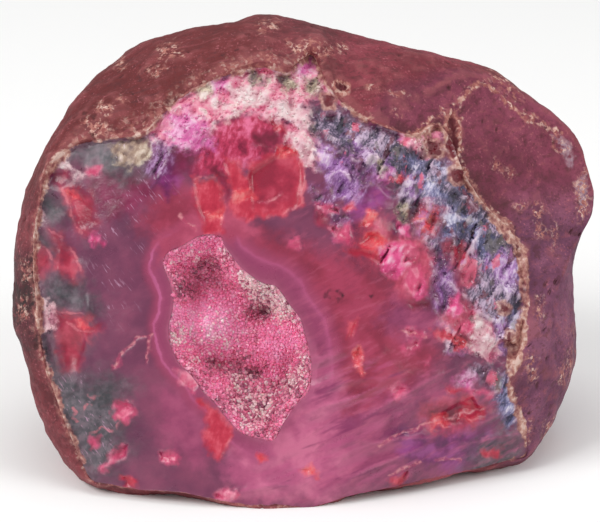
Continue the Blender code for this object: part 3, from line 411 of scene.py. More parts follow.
stone = {
    "rimSteps": 640, "plainStep": 0.47, "brokenStep": 0.31, "mouthSteps": 260,
    "frontRings": 44, "backRings": 52,
    "depth": 58.0,  # face to back
    "hollowDepth": 17.0,
    "lip": 0.9,  # how far the rind's broken edge stands out
    "lipWidth": 0.75,  # how far that edge reaches on to the face
    "nearBase": 0.12,  # points no farther than this from the base plane are laid on it
    "skinMost": 8.0,  # the distance from the rim is not told apart beyond this
    "hollowSkin": 9.0,  # stands in for that distance on the wall of the hollow
    "smallChip": 5.5,  # chips up to this size are facets
    "scarDepth": 0.6,  # of the depth each scar gives
    "chipDepth": 0.2,
    "crackDepth": 0.14,
    "cellDepth": 0.7,  # the rind's ringed cells
    "ridges": ((0.18, 1.0), 0.9, 4.2, 41.0),  # drawn out by, height, spacing, seed
    "ripples": ((0.3, 1.0), 0.15, 1.2, 47.0),
    "plain": ((0.10, 3.5, 42.0), (0.03, 1.1, 43.0)),  # the smooth ground: height, spacing, seed
    "markedTo": -32.0,  # how far back the rind has cells and seams, and drawn colours
    "colouredTo": -34.0,
    "frontSkin": -20.0,  # "skin" runs from 0 at the rim to this at the widest rind
    "backSkin": -70.0,  # and by this much more to the back
    "tipSkin": -95.0,
    "evening": 14,  # rounds that find a point's surroundings for "crest"
    "sharp": 38,  # edges sharper than this, in degrees, look sharp
    "lumps": ((1.1, 18.0), (0.6, 7.0), (0.22, 2.6), (0.10, 1.1)),  # height, spacing
    "pits": (2.6, 0.30, 0.62, 0.38),  # spacing, least and most radius, depth
    "slopes": (  # x, y, heading in degrees, gradient, rounding
        (-10.0, 21.0, 95, 0.60, 2.5), (5.2, 19.2, 38, 0.50, 2.5), (12.0, -20.0, -15, 0.25, 4.0),
        (22.0, -28.0, -50, 0.35, 3.0), (-30.0, 0.0, 180, 0.30, 3.0), (-22.0, -30.0, 215, 0.20, 3.0)),
    "flats": (  # point, facing
        ((20.3, 22.1, -7.9), (0.486, 0.248, 0.839)), ((-33.0, 14.0, -45.0), (-0.62, 0.30, -0.73)),
        ((30.0, 22.0, -46.0), (0.45, 0.50, -0.74))),
    "rough": (  # outline, lump height, spacing
        (((-2.0, 38.0), (-1.5, 26.0), (2.0, 19.0), (5.5, 13.0), (8.0, 8.0), (13.0, 4.0), (19.0, 0.5),
          (24.0, -7.5), (28.0, -15.5), (35.0, -19.0), (39.0, -26.0), (46.0, -22.0), (46.0, 8.0),
          (30.0, 30.0)), 1.3, 4.5),
        (((-28.0, 23.0), (-19.0, 20.5), (-13.5, 25.0), (-6.0, 25.0), (-2.0, 26.0), (8.0, 27.5),
          (4.0, 40.0), (-12.0, 38.0), (-26.0, 30.0)), 0.8, 3.0),
        (((-50.0, 22.0), (-38.0, 20.0), (-40.0, 8.0), (-36.5, 2.0), (-37.5, -5.0), (-34.0, -12.0),
          (-36.0, -24.0), (-32.0, -36.0), (-40.0, -42.0), (-50.0, -10.0)), 1.1, 6.0)),
    "scars": (  # outline, depth of the step, heading of the step
        (((-9.0, 15.4), (-8.5, 10.0), (-8.4, 7.6), (-5.7, 7.1), (-0.5, 8.7), (0.9, 14.9), (0.5, 18.2),
          (-2.1, 20.6), (-4.5, 18.3)), 1.6, 110),
        (((-18.7, 13.8), (-17.3, 7.8), (-16.4, 5.6), (-13.7, 5.6), (-13.0, 8.0), (-13.3, 12.3),
          (-14.7, 15.3)), 0.7, 80),
        (((-13.9, 18.0), (-12.3, 13.8), (-10.4, 10.5), (-9.9, 14.6), (-10.9, 17.1)), 0.6, 150),
        (((-40.9, 12.4), (-39.6, 8.1), (-38.2, 5.7), (-36.2, 5.3), (-35.5, 9.2), (-38.7, 12.1)),
         0.9, 150),
        (((-42.4, -9.0), (-41.5, -16.4), (-40.5, -19.0), (-37.8, -17.3), (-37.0, -12.8),
          (-35.6, -11.2), (-36.9, -9.3)), 1.0, 95),
        (((-32.0, -26.2), (-30.7, -28.1), (-28.7, -27.0), (-28.6, -25.2), (-30.1, -24.2)), 0.9, 130),
        (((15.7, -22.9), (17.0, -24.1), (18.8, -22.4), (16.8, -21.4)), 0.8, 130),
        (((22.3, -12.3), (26.2, -14.3), (26.4, -12.4), (25.0, -11.2)), 1.2, 70),
        (((10.2, 3.1), (11.4, 2.0), (14.4, 2.2), (15.0, 3.5), (13.3, 5.0), (11.4, 4.8)), 1.0, 60),
        (((13.6, 0.9), (14.6, -1.4), (16.2, -2.0), (17.5, -0.4), (17.4, 3.0)), 1.2, 100),
        (((23.0, -27.4), (28.0, -28.6), (32.5, -26.0), (28.0, -24.4)), 1.4, 100),
        (((-34.0, -34.4), (-31.0, -34.8), (-29.6, -32.0), (-31.0, -30.6)), 0.9, 140)),
    "crusted": (  # where the rind's broken edge is crusted: x, y, reach across and up, width
        (24.0, 22.0, 4.5, 5.0, 1.7), (30.0, 14.0, 4.0, 4.5, 1.5), (36.0, 6.0, 4.0, 4.0, 2.0),
        (39.5, -3.0, 3.0, 6.0, 1.9), (38.0, -15.0, 3.5, 5.0, 2.2), (39.5, -28.0, 4.0, 6.0, 1.3),
        (2.0, 33.0, 5.0, 5.0, 1.0), (11.0, 25.5, 6.0, 3.0, 0.9), (-42.0, 15.0, 6.0, 6.0, 1.0),
        (-46.0, 3.0, 3.0, 6.0, 1.1), (-46.0, -9.0, 3.0, 4.0, 1.4), (-43.0, -22.0, 3.0, 6.0, 1.0),
        (-26.0, 24.0, 9.0, 4.0, 0.8), (-12.0, 33.0, 6.0, 3.0, 0.5), (-40.0, -32.0, 4.0, 6.0, 0.9)),
    "grain": 62.0,  # which way the broken ground runs, in degrees
    "blocks": (3.0, 1, 0.5, 1.0),  # broken crystal ground: spacing, seed, tilt and step, in two sizes
    "bits": (1.1, 2, 0.5, 0.35),
    "hollowRings": (  # share of the mouth's width, share of the hollow's depth
        (0.995, 0.04), (0.985, 0.12), (0.98, 0.3), (0.94, 0.55), (0.78, 0.8), (0.45, 0.96)),
    "flow": ((2, -14), (40, -22), (40, -34), (4, -41), (-12, -40), (0, -30)),  # streaky lower right
    "scratched": (
        ((-38, 10), (-29, 14), (-24, 8), (-27, -2), (-28, -12), (-36, -10)),
        ((-44, -20), (-34, -18), (-30, -26), (-33, -36), (-40, -34)),
        ((-32, 16), (-22, 17), (-20, 8), (-28, 6))),
}


def ease(t):
    t = np.clip(t, 0.0, 1.0)
    return t * t * (3.0 - 2.0 * t)


def wave(points, spacing, seed=0.0):  # soft noise, about -1 to 1
    places = points / spacing
    if points.shape[1] == 2:
        places = np.column_stack([places, np.full(len(places), seed)])
    else:
        places = places + (seed, 0.0, 0.0)
    return np.array([noise.noise(place) for place in places.tolist()])


def waves(points, rows):  # (height, spacing, seed) each, or without the seed
    return sum(height * wave(points, *row) for height, *row in rows)


def drift(points, reach, spacing, seed):  # a soft push sideways for each point
    return reach * np.stack([wave(points, spacing, seed), wave(points, spacing, seed + 1.0)], axis=1)


def towards(angle):
    return np.array([math.cos(angle), math.sin(angle)])


def most(fields):
    return np.maximum.reduce(list(fields))


def closedCurve(rows, count):
    fine, total = [], len(rows)
    for i in range(total):
        a, b, c, d = (rows[(i + k) % total] for k in (-1, 0, 1, 2))
        for t in np.linspace(0.0, 1.0, 24, endpoint=False):
            fine.append(0.5 * (2 * b + (c - a) * t + (2 * a - 5 * b + 4 * c - d) * t**2
                               + (3 * b - a - 3 * c + d) * t**3))
    fine = np.array(fine + fine[:1])
    along = np.concatenate([[0.0], np.cumsum(np.hypot(*np.diff(fine[:, :2], axis=0).T))])
    wanted = np.linspace(0.0, along[-1], count, endpoint=False)
    return np.stack([np.interp(wanted, along, column) for column in fine.T], axis=1)


coarseMouth = closedCurve(hollowMouth, 150)


def toLine(points, line, closed):  # distance to the line, and whether inside it where it is closed
    if len(points) > 12000:
        parts = [toLine(points[k:k + 12000], line, closed) for k in range(0, len(points), 12000)]
        return np.concatenate([p[0] for p in parts]), closed and np.concatenate([p[1] for p in parts])
    start, end = (line, np.roll(line, -1, axis=0)) if closed else (line[:-1], line[1:])
    step = end - start
    arm = points[:, None, :] - start[None]
    share = np.clip((arm * step).sum(2) / (step**2).sum(1), 0.0, 1.0)
    distance = np.hypot(*np.moveaxis(arm - share[..., None] * step, 2, 0)).min(1)
    if not closed:
        return distance, None
    above = (start[:, 1] > points[:, 1:2]) != (end[:, 1] > points[:, 1:2])
    rise = np.where(step[:, 1] == 0.0, 1e-12, step[:, 1])
    crossing = start[:, 0] + (points[:, 1:2] - start[:, 1]) / rise * step[:, 0]
    return distance, (above & (points[:, 0:1] < crossing)).sum(1) % 2 == 1


def within(points, outline):  # distance inside an outline, negative outside
    distance, inside = toLine(points, np.asarray(outline, float), True)
    return np.where(inside, distance, -distance)


def nearestShape(plan, shapes, start, reach, measure, pick):
    field = np.full(len(plan), float(start))
    for shape in shapes:
        shape = np.array(shape, float)
        near = ((plan > shape.min(0) - reach) & (plan < shape.max(0) + reach)).all(1)
        if near.any():
            field[near] = pick(field[near], measure(plan[near], shape))
    return field


def patchField(plan, outlines, reach):  # distance inside the nearest patch, no lower than -reach
    return nearestShape(plan, outlines, -reach, reach, within, np.maximum)


def lineField(plan, lines, reach):  # distance from the nearest line, no more than reach
    return nearestShape(plan, lines, reach, reach, lambda p, line: toLine(p, line, False)[0], np.minimum)


def scramble(cells, seed):  # three numbers from 0 to 1 for each cell
    mixed = cells @ np.array([127.1, 311.7, 74.7][: cells.shape[1]]) + seed * 17.13
    return np.stack([np.mod(np.sin(mixed + k * 41.3) * 43758.5453, 1.0) for k in range(3)], axis=1)


def shards(points, spacing, seed):  # distance to the nearest jittered centre, and its numbers
    size = points.shape[1]
    cell = np.floor(points / spacing)
    nearest = np.full(len(points), 1e9)
    numbers = np.zeros((len(points), 3))
    for offset in np.ndindex(*(3,) * size):
        corner = cell + np.array(offset) - 1
        jitter = scramble(corner, seed)
        reach = points - (corner + 0.5 + 0.85 * (jitter[:, :size] - 0.5)) * spacing
        distance = np.sqrt((reach**2).sum(1))
        closer = distance < nearest
        nearest[closer] = distance[closer]
        numbers[closer] = scramble(corner[closer], seed + 5)
    return nearest, numbers


def crystalGround(points, spacing, seed, tilt, step):  # facets that meet in sharp valleys; height and tone
    cell = np.floor(points / spacing)
    height = np.full(len(points), -1e9)
    tone = np.zeros(len(points))
    for offset in np.ndindex(3, 3):
        corner = cell + np.array(offset) - 1
        jitter, numbers = scramble(corner, seed), scramble(corner, seed + 5)
        arm = points - (corner + 0.5 + 0.9 * (jitter[:, :2] - 0.5)) * spacing
        here = step * numbers[:, 2] + tilt * ((numbers[:, :2] - 0.5) * 2 * arm).sum(1) \
            - 0.3 / spacing * (arm**2).sum(1)
        higher = here > height
        height[higher], tone[higher] = here[higher], jitter[higher, 2]
    return height, tone


def splintered(points):  # swirled places, drawn out along the grain of the broken ground
    swirl = points + drift(points, 0.8, 3.0, 45.0)
    along = math.radians(stone["grain"])
    turned = swirl @ np.array([[math.cos(along), -math.sin(along)], [math.sin(along), math.cos(along)]])
    return turned * (0.6, 1.2)


def faceShape(points):  # the broken face's broad relief
    height = np.zeros(len(points))
    for x, y, heading, gradient, rounding in stone["slopes"]:
        way = towards(math.radians(heading))
        height -= gradient * rounding * np.logaddexp(0.0, (points - (x, y)) @ way / rounding)
    roughest = np.zeros(len(points))
    for seed, (outline, lump, spacing) in enumerate(stone["rough"]):
        share = ease(0.5 + within(points, outline) / 2.0)
        roughest = np.maximum(roughest, share)
        some = share > 0.0
        ridge = 1.0 - 2.0 * np.abs(wave(points[some], spacing, 3.0 + seed))
        block = wave(points[some], 2.2 * spacing, 8.0 + seed)
        height[some] += share[some] * lump * (0.7 * ridge + 0.9 * block - 0.4)
    return height + (1.0 - roughest) * 0.45 * wave(points, 11.0, 1.0)


def lipHeight(rim):  # none low down nor at the spike of the sugary ground
    spike = ease(1.6 - np.hypot(rim[:, 0] - 2.0, rim[:, 1] - 35.0) / 3.0)
    above = ease((rim[:, 1] + 37.0) / 6.0)
    return stone["lip"] * (1.0 + 0.9 * wave(rim, 5.0, 21.0)) * above * (1.0 - spike)


def inPlan(points):
    return points[:, :2] * (stance["seenFrom"] / (stance["seenFrom"] - points[:, 2:3]))


def wander(plan):  # makes the drawn outlines ragged
    return plan + drift(plan, 0.55, 2.1, 31.0) + drift(plan, 0.25, 0.8, 33.0)


def faceDetail(points, height):  # ledges, chips and grain on top of the broad relief
    for outline, depth, heading in stone["scars"]:
        outline = np.array(outline)
        way = towards(math.radians(heading))
        reach = outline @ way
        share = np.clip((points @ way - reach.min()) / (reach.max() - reach.min()), 0.0, 1.0)
        height = height - stone["scarDepth"] * depth * share**0.8 * ease(0.2 + within(points, outline) / 1.1)
    plan = wander(inPlan(np.column_stack([points, height])))
    fields = {tone: patchField(plan, outlines, 4.0) for tone, outlines in facePatches.items()}
    deep = {tone: ease(0.5 + fields[tone] / 1.6) for tone in fields}
    coarse, sugar = most(deep[tone] for tone in coarseTones), most(deep[tone] for tone in sugarTones)
    chips = most(ease(0.2 + fields[tone] / 0.9) for tone in chipTones)
    splinters = splintered(points)
    blocks = crystalGround(splinters, *stone["blocks"])[0]
    bits = crystalGround(splinters, *stone["bits"])[0]
    height = height + most((coarse, sugar, 0.35 * deep["smoke"])) * (blocks - blocks.mean())
    height = height + np.maximum(coarse, sugar) * (bits - bits.mean())
    height = height - chips * stone["chipDepth"] + chipFacets(plan)
    flow = ease(0.5 + within(plan, stone["flow"]) / 6.0)
    swept = points @ np.array([[0.93, 0.36], [-0.36, 0.93]]).T
    drawn, ridge, spacing, seed = stone["ridges"]
    ridges = ridge * (1.0 - 2.0 * np.abs(wave(swept * drawn, spacing, seed)))
    drawn, ripple, spacing, seed = stone["ripples"]
    height = height + flow * (ridges + ripple * wave(swept * drawn, spacing, seed))
    plain = 1.0 - most((coarse, sugar, chips))
    height = height + plain * waves(points, stone["plain"])
    return height - stone["crackDepth"] * ease(1.0 - lineField(plan, fineLines["crack"], 2.0) / 0.5)


def chipFacets(plan):  # each small chip is a facet with a tilt of its own
    height = np.zeros(len(plan))
    for number, outline in enumerate(facePatches["cherry"] + facePatches["rose"] + facePatches["scarlet"]):
        outline = np.array(outline)
        if np.ptp(outline, axis=0).max() > stone["smallChip"]:
            continue
        near = ((plan > outline.min(0) - 0.5) & (plan < outline.max(0) + 0.5)).all(1)
        if near.any():
            arm = plan[near] - outline.mean(0)
            way = towards(number * 2.4)
            share = ease(0.25 + within(plan[near], outline) / 0.9)
            height[near] += share * np.clip(0.5 * (arm @ way), -0.8, 0.8)
    return height


def spreadPoints(outline, holes, step, rng):
    low, high = outline.min(0), outline.max(0)
    rows = []
    for j, y in enumerate(np.arange(low[1], high[1], step * math.sqrt(0.75))):
        for x in np.arange(low[0] + 0.5 * step * (j % 2), high[0], step):
            rows.append((x + rng.uniform(-0.22, 0.22) * step, y + rng.uniform(-0.22, 0.22) * step))
    points = np.array(rows)
    keep = within(points, outline) > 0.55 * step
    for hole in holes:
        keep &= within(points, hole) < -0.5 * step
    return points[keep]


def triangulate(loops, points, keep):
    flat, edges = [], []
    for loop in loops:
        first = len(flat)
        flat += [Vector(p) for p in loop]
        edges += [(first + i, first + (i + 1) % len(loop)) for i in range(len(loop))]
    flat += [Vector(p) for p in points]
    verts, _, faces, sources, _, _ = geometry.delaunay_2d_cdt(flat, edges, [], 0, 1e-7)
    verts = np.array([tuple(v) for v in verts])
    place = {old: new for new, group in enumerate(sources) for old in group}
    faces = np.array([f for f in faces if len(f) == 3])
    return verts, faces[keep(verts[faces].mean(1))], place


def bandFaces(outer, inner):  # triangles between two closed rings of vertex numbers
    count, ratio = len(outer), len(outer) // len(inner)
    faces = []
    for i in range(count):
        a, b = outer[i], outer[(i + 1) % count]
        c, d = inner[i // ratio % len(inner)], inner[((i + 1) // ratio) % len(inner)]
        faces += [(a, c, b)] if c == d else [(a, c, d), (a, d, b)]
    return faces


def rindRings(outline):  # rings over the rind with what "skin" is on each, and the point that shuts them
    rim, widest, depth = outline[:, 0:2], outline[:, 2:4], outline[:, 4:5]
    start = faceShape(rim) + lipHeight(rim)
    even = np.convolve(np.concatenate([start[-20:], start, start[:20]]), np.ones(41) / 41, "valid")
    rings = []
    for t in np.linspace(0.0, 1.0, stone["frontRings"] + 1)[1:]:
        across = rim + (widest - rim) * (2 * t - t * t)
        level = (even + (start - even) * (1.0 - t) ** 9)[:, None]
        ring = np.hstack([across, level + (-depth - level) * t**1.2])
        rings.append((ring, stone["frontSkin"] * t))
    back = np.array([1.0, -3.0])
    for t in np.linspace(0.0, 1.0, stone["backRings"] + 2)[1:-1]:
        out = math.cos(t * math.pi / 2) ** 0.72
        away = math.sin(t * math.pi / 2) ** 0.9
        every = 2 if t < 0.45 else 4 if t < 0.85 else 8
        across = back + (widest - back) * out
        ring = np.hstack([across, -depth - (stone["depth"] - depth) * away])[::every]
        rings.append((ring, stone["frontSkin"] + stone["backSkin"] * t))
    return rings, np.array([*back, -stone["depth"]])


def hollowRings(mouth, top, shares):
    middle = mouth.mean(0)
    return [np.hstack([middle + (mouth - middle) * share, (top - stone["hollowDepth"] * depth)[:, None]])
            for share, depth in shares], np.array([*middle, -stone["hollowDepth"]])


def flatten(points):  # the rind's flat sides
    for point, facing in stone["flats"]:
        facing = np.array(facing) / np.linalg.norm(facing)
        over = (points - point) @ facing
        points = points - np.maximum(over, 0.0)[:, None] * facing
    return points


def shapeRind(points, normals):  # lumps, pits, ringed cells and the chipped seam
    spacing, least, most, depth = stone["pits"]
    distance, numbers = shards(points, spacing, 9)
    radius = least + (most - least) * numbers[:, 0]
    pit = np.where(numbers[:, 1] > 0.45, np.clip(1.0 - (distance / radius) ** 2, 0.0, 1.0), 0.0)
    front = points[:, 2] > stone["markedTo"]
    plan = wander(inPlan(points))
    cells = np.where(front, patchField(plan, rindPatches["ring"], 2.0), -2.0)
    seam = np.where(front, lineField(plan, fineLines["seam"], 3.0), 3.0)
    chipped = np.exp(-(seam / 0.9) ** 2)
    push = waves(points, stone["lumps"]) - depth * pit - stone["cellDepth"] * ease(cells / 0.5) \
        + chipped * (0.25 + 0.5 * wave(points, 0.9, 7.0))
    return points + normals * push[:, None], pit


def shutWith(points, faces, skin, ring, rings, tip, tipSkin):  # adds rings behind a ring, and a last point
    total = sum(len(part) for part in points)
    for ringPoints, ringSkin in rings:
        behind = np.arange(total, total + len(ringPoints))
        faces.append(np.array(bandFaces(ring, behind)))
        points.append(ringPoints)
        skin.append(np.full(len(ringPoints), ringSkin))
        total += len(ringPoints)
        ring = behind
    points.append(tip[None])
    skin.append([tipSkin])
    faces.append(np.array([(ring[i], total, ring[(i + 1) % len(ring)]) for i in range(len(ring))]))
    return total + 1


def meshFrom(bm, name):
    mesh = bpy.data.meshes.new(name)
    bm.to_mesh(mesh)
    bm.free()
    return mesh


def makeStone():
    rng = random.Random(7)
    outline = closedCurve(outlineRows, stone["rimSteps"])
    rim = outline[:, :2]
    mouth = closedCurve(hollowMouth, stone["mouthSteps"])
    loose = []
    for step, sharp in ((stone["plainStep"], False), (stone["brokenStep"], True)):
        spread = spreadPoints(rim, [mouth], step, rng)
        reach = most(patchField(spread, facePatches[tone], 4.0) for tone in sharpTones)
        reach = np.maximum(reach, 0.1 - lineField(spread, fineLines["crack"], 3.0))
        loose.append(spread[(reach > -0.7) == sharp])
    flat, faces, place = triangulate([rim, mouth], np.vstack(loose),
                                     lambda c: (within(c, rim) > 0.0) & (within(c, mouth) < 0.0))
    print("face:", len(faces), "triangles")
    edge = np.minimum(within(flat, rim), stone["skinMost"])
    onRim = np.array([place[i] for i in range(len(rim))])
    onMouth = np.array([place[len(rim) + i] for i in range(len(mouth))])
    edge[onRim] = 0.0
    plain = faceShape(flat)
    height = faceDetail(flat, plain)
    lipShare = ease(1.0 - edge / stone["lipWidth"])
    height = height * (1 - lipShare) + (plain + lipHeight(flat)) * lipShare
    height[onRim] = faceShape(rim) + lipHeight(rim)

    points, allFaces, skin = [np.column_stack([flat, height])], [faces], [edge]
    rings, back = rindRings(outline)
    rind = slice(len(flat), shutWith(points, allFaces, skin, onRim, rings, back, stone["tipSkin"]))
    rings, deepest = hollowRings(mouth, height[onMouth], stone["hollowRings"])
    shutWith(points, allFaces, skin, onMouth, [(ring, stone["hollowSkin"]) for ring in rings], deepest,
             stone["hollowSkin"])
    points, allFaces, skin = np.vstack(points), np.vstack(allFaces), np.concatenate(skin)

    points[rind] = flatten(points[rind])
    bm = bmesh.new()
    skinLayer = bm.verts.layers.float.new("skin")
    pitLayer = bm.verts.layers.float.new("pit")
    made = [bm.verts.new(p) for p in points]
    for face in allFaces:
        bm.faces.new([made[i] for i in face])
    bmesh.ops.recalc_face_normals(bm, faces=bm.faces[:])
    normals = np.array([tuple(v.normal) for v in made[rind]])
    pitted = np.zeros(len(points))
    shaped, pitted[rind] = shapeRind(points[rind], normals)
    for vert, moved in zip(made[rind], shaped):
        vert.co = moved
    for vert, value, pit in zip(made, skin, pitted):
        vert[skinLayer] = value
        vert[pitLayer] = pit
    cutBase(bm)
    print("stone:", len(bm.faces), "triangles")
    return meshFrom(bm, "agateStone")


def cutBase(bm):
    up = Vector(faceUp)
    lift = stance["centre"][2]
    for vert in bm.verts:
        height = vert.co.dot(up) + lift
        if abs(height) < stone["nearBase"]:
            vert.co -= up * height
    bmesh.ops.bisect_plane(bm, geom=bm.verts[:] + bm.edges[:] + bm.faces[:], dist=1e-4,
                           plane_co=-up * lift, plane_no=up, clear_inner=True)
    bmesh.ops.triangle_fill(bm, edges=[e for e in bm.edges if e.is_boundary], normal=-up)
    bmesh.ops.dissolve_degenerate(bm, dist=1e-4, edges=bm.edges[:])
    bmesh.ops.triangulate(bm, faces=bm.faces[:])


def crests(mesh, points):  # how far each point stands out of its surroundings, in mm
    ends = np.empty(len(mesh.edges) * 2, np.int32)
    mesh.edges.foreach_get("vertices", ends)
    ends = ends.reshape(-1, 2)
    normals = np.empty(len(points) * 3)
    mesh.vertices.foreach_get("normal", normals)
    count = np.bincount(ends.ravel(), minlength=len(points))
    even = points.copy()
    for _ in range(stone["evening"]):
        for k in range(3):
            total = np.bincount(ends[:, 0], even[ends[:, 1], k], len(points)) \
                + np.bincount(ends[:, 1], even[ends[:, 0], k], len(points))
            even[:, k] = 0.5 * (even[:, k] + total / np.maximum(count, 1))
    return ((points - even) * normals.reshape(-1, 3)).sum(1)


def partly(chosen, otherwise, places, measure, *settings):  # measured at the chosen points only
    values = np.full(len(places), otherwise)
    values[chosen] = measure(places[chosen], *settings)
    return values


def storeFields(mesh):  # what the materials need to know at each point of the stone
    points = meshPoints(mesh)
    skin = fieldOn(mesh, "skin")
    inHollow = skin > 8.9
    onFace = (skin >= 0.0) & ~inHollow
    front = (skin < 0.0) & (points[:, 2] > stone["colouredTo"])
    plan = wander(inPlan(points))
    fields = {}
    for tone, outlines in facePatches.items():
        fields[tone] = partly(onFace, -4.0, plan, patchField, outlines, 4.0)
    for tone, outlines in rindPatches.items():
        fields[tone] = partly(front | (onFace & (tone == "ring")), -2.0, plan, patchField, outlines, 2.0)
    for tone, lines in fineLines.items():
        chosen = onFace if tone in ("crack", "edge") else front | (onFace & (skin < 1.5))
        fields[tone] = partly(chosen, 3.0, plan, lineField, lines, 3.0)
    fields["mouth"] = -partly(skin >= 0.0, -30.0, points[:, :2], within, coarseMouth)
    fields["broken"] = ease(0.5 + most(fields[tone] for tone in brokenTones))
    fields["flow"] = partly(onFace, -4.0, plan, within, stone["flow"])
    fields["scratched"] = partly(onFace, -4.0, plan, patchField, stone["scratched"], 4.0)
    point, facing = stone["flats"][0]
    fields["flat"] = np.where(front, 2.0 - np.abs((points - point) @ np.array(facing)), -2.0)
    fields["crusted"] = -0.1 + spots(points, stone["crusted"]) - np.abs(skin) * np.where(skin < 0, 1.2, 1.0)
    fields["crusted"][inHollow | (points[:, 1] < -36)] = -4.0
    splinters = splintered(points[:, :2])
    fields["block"] = crystalGround(splinters, *stone["blocks"])[1]
    fields["bit"] = crystalGround(splinters, *stone["bits"])[1]
    fields["crest"] = crests(mesh, points)
    for name, values in fields.items():
        setField(mesh, name, values)


def addPiece(name, mesh, node):
    mesh.name = name
    piece = bpy.data.objects.new(name, mesh)
    bpy.context.scene.collection.objects.link(piece)
    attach(piece, "root")
    if node:
        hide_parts(node)


class Signal:  # a socket, with arithmetic that adds the Math nodes
    def __init__(self, graph, socket):
        self.graph = graph
        self.socket = socket

    def __add__(self, other):
        return self.graph.maths("ADD", self, other)

    def __sub__(self, other):
        return self.graph.maths("SUBTRACT", self, other)

    def __rsub__(self, other):
        return self.graph.maths("SUBTRACT", other, self)

    def __mul__(self, other):
        return self.graph.maths("MULTIPLY", self, other)

    def __truediv__(self, other):
        return self.graph.maths("DIVIDE", self, other)

    __radd__ = __add__
    __rmul__ = __mul__


class Graph:  # a node tree; every node in it comes from node()
    def __init__(self, tree):
        self.tree = tree

    def node(self, kind, settings=None, values=None, output=0):
        made = self.tree.nodes.new(kind)
        for name, value in (settings or {}).items():
            if name == "stops":
                ramp = made.color_ramp
                while len(ramp.elements) < len(value):
                    ramp.elements.new(1.0)
                for element, (place, colour) in zip(ramp.elements, value):
                    element.position = place
                    element.color = colour
            else:
                setattr(made, name, value)
        for key, value in (values or {}).items():
            if isinstance(value, Signal):
                self.tree.links.new(value.socket, made.inputs[key])
            else:
                made.inputs[key].default_value = value
        return Signal(self, made.outputs[output]) if len(made.outputs) else None

    def maths(self, operation, first, second=0.0):
        return self.node("ShaderNodeMath", {"operation": operation}, {0: first, 1: second})


def shade(red, green, blue, gain=0.78):  # a colour as a screen shows it, linear, less what the gloss adds
    linear = [((c / 255 + 0.055) / 1.055) ** 2.4 for c in (red, green, blue)]
    return (*(max((c - 0.016) * gain, 0.002) for c in linear), 1.0)


class Paint(Graph):  # one material
    def __init__(self, name):
        self.material = bpy.data.materials.new(name)
        self.material.use_nodes = True
        super().__init__(self.material.node_tree)
        self.tree.nodes.clear()
        coordinates = self.node("ShaderNodeTexCoord", output="Object")
        self.place = self.node("ShaderNodeMapping", {"vector_type": "TEXTURE"}, {
            "Vector": coordinates, "Location": [c * 0.001 for c in stance["centre"]],
            "Rotation": (math.radians(90 - stance["lean"]), 0, 0), "Scale": (0.001, 0.001, 0.001)})

    def field(self, name):  # what storeFields left on the mesh
        return self.node("ShaderNodeAttribute", {"attribute_name": name}, output="Fac")

    def ease(self, value, low, high):  # 0 at low, 1 at high
        return self.node("ShaderNodeMapRange", {"interpolation_type": "SMOOTHSTEP"}, {
            "Value": value, "From Min": low, "From Max": high})

    def blend(self, share, under, over):
        return self.node("ShaderNodeMix", {"data_type": "RGBA"}, {0: share, 6: under, 7: over}, 2)

    def tint(self, share, under, *tone):  # that share of one tone over a colour
        return self.blend(share, under, shade(*tone))

    def ramp(self, value, *stops):  # (place, (red, green, blue)) each
        stops = [(place, shade(*tone)) for place, tone in stops]
        return self.node("ShaderNodeValToRGB", {"stops": stops}, {"Fac": value})

    def moved(self, seed, turned=0.0, drawn=1.0):  # drawn out that many times along the way it is turned
        return self.node("ShaderNodeMapping", {"vector_type": "TEXTURE"}, {
            "Vector": self.place, "Location": (seed * 13.7, seed * 7.9, seed * 3.1),
            "Rotation": (0, 0, math.radians(turned)), "Scale": (drawn, 1.0, 1.0)})

    def cloud(self, spacing, seed, detail=3.0, turned=0.0, drawn=1.0):  # about 0.3 to 0.7
        return self.node("ShaderNodeTexNoise", values={
            "Vector": self.moved(seed, turned, drawn), "Scale": 1 / spacing, "Detail": detail,
            "Roughness": 0.55})

    def grains(self, spacing, seed, feature="F1", output="Color"):  # angular cells
        return self.node("ShaderNodeTexVoronoi", {"feature": feature}, {
            "Vector": self.moved(seed), "Scale": 1 / spacing}, output)

    def bump(self, height, distance, strength):
        return self.node("ShaderNodeBump", values={
            "Height": height, "Distance": distance, "Strength": strength})

    def finish(self, values):  # values varying or constant on the shader's own sockets
        shader = self.node("ShaderNodeBsdfPrincipled", values=values)
        self.node("ShaderNodeOutputMaterial", values={"Surface": shader})
        return self.material


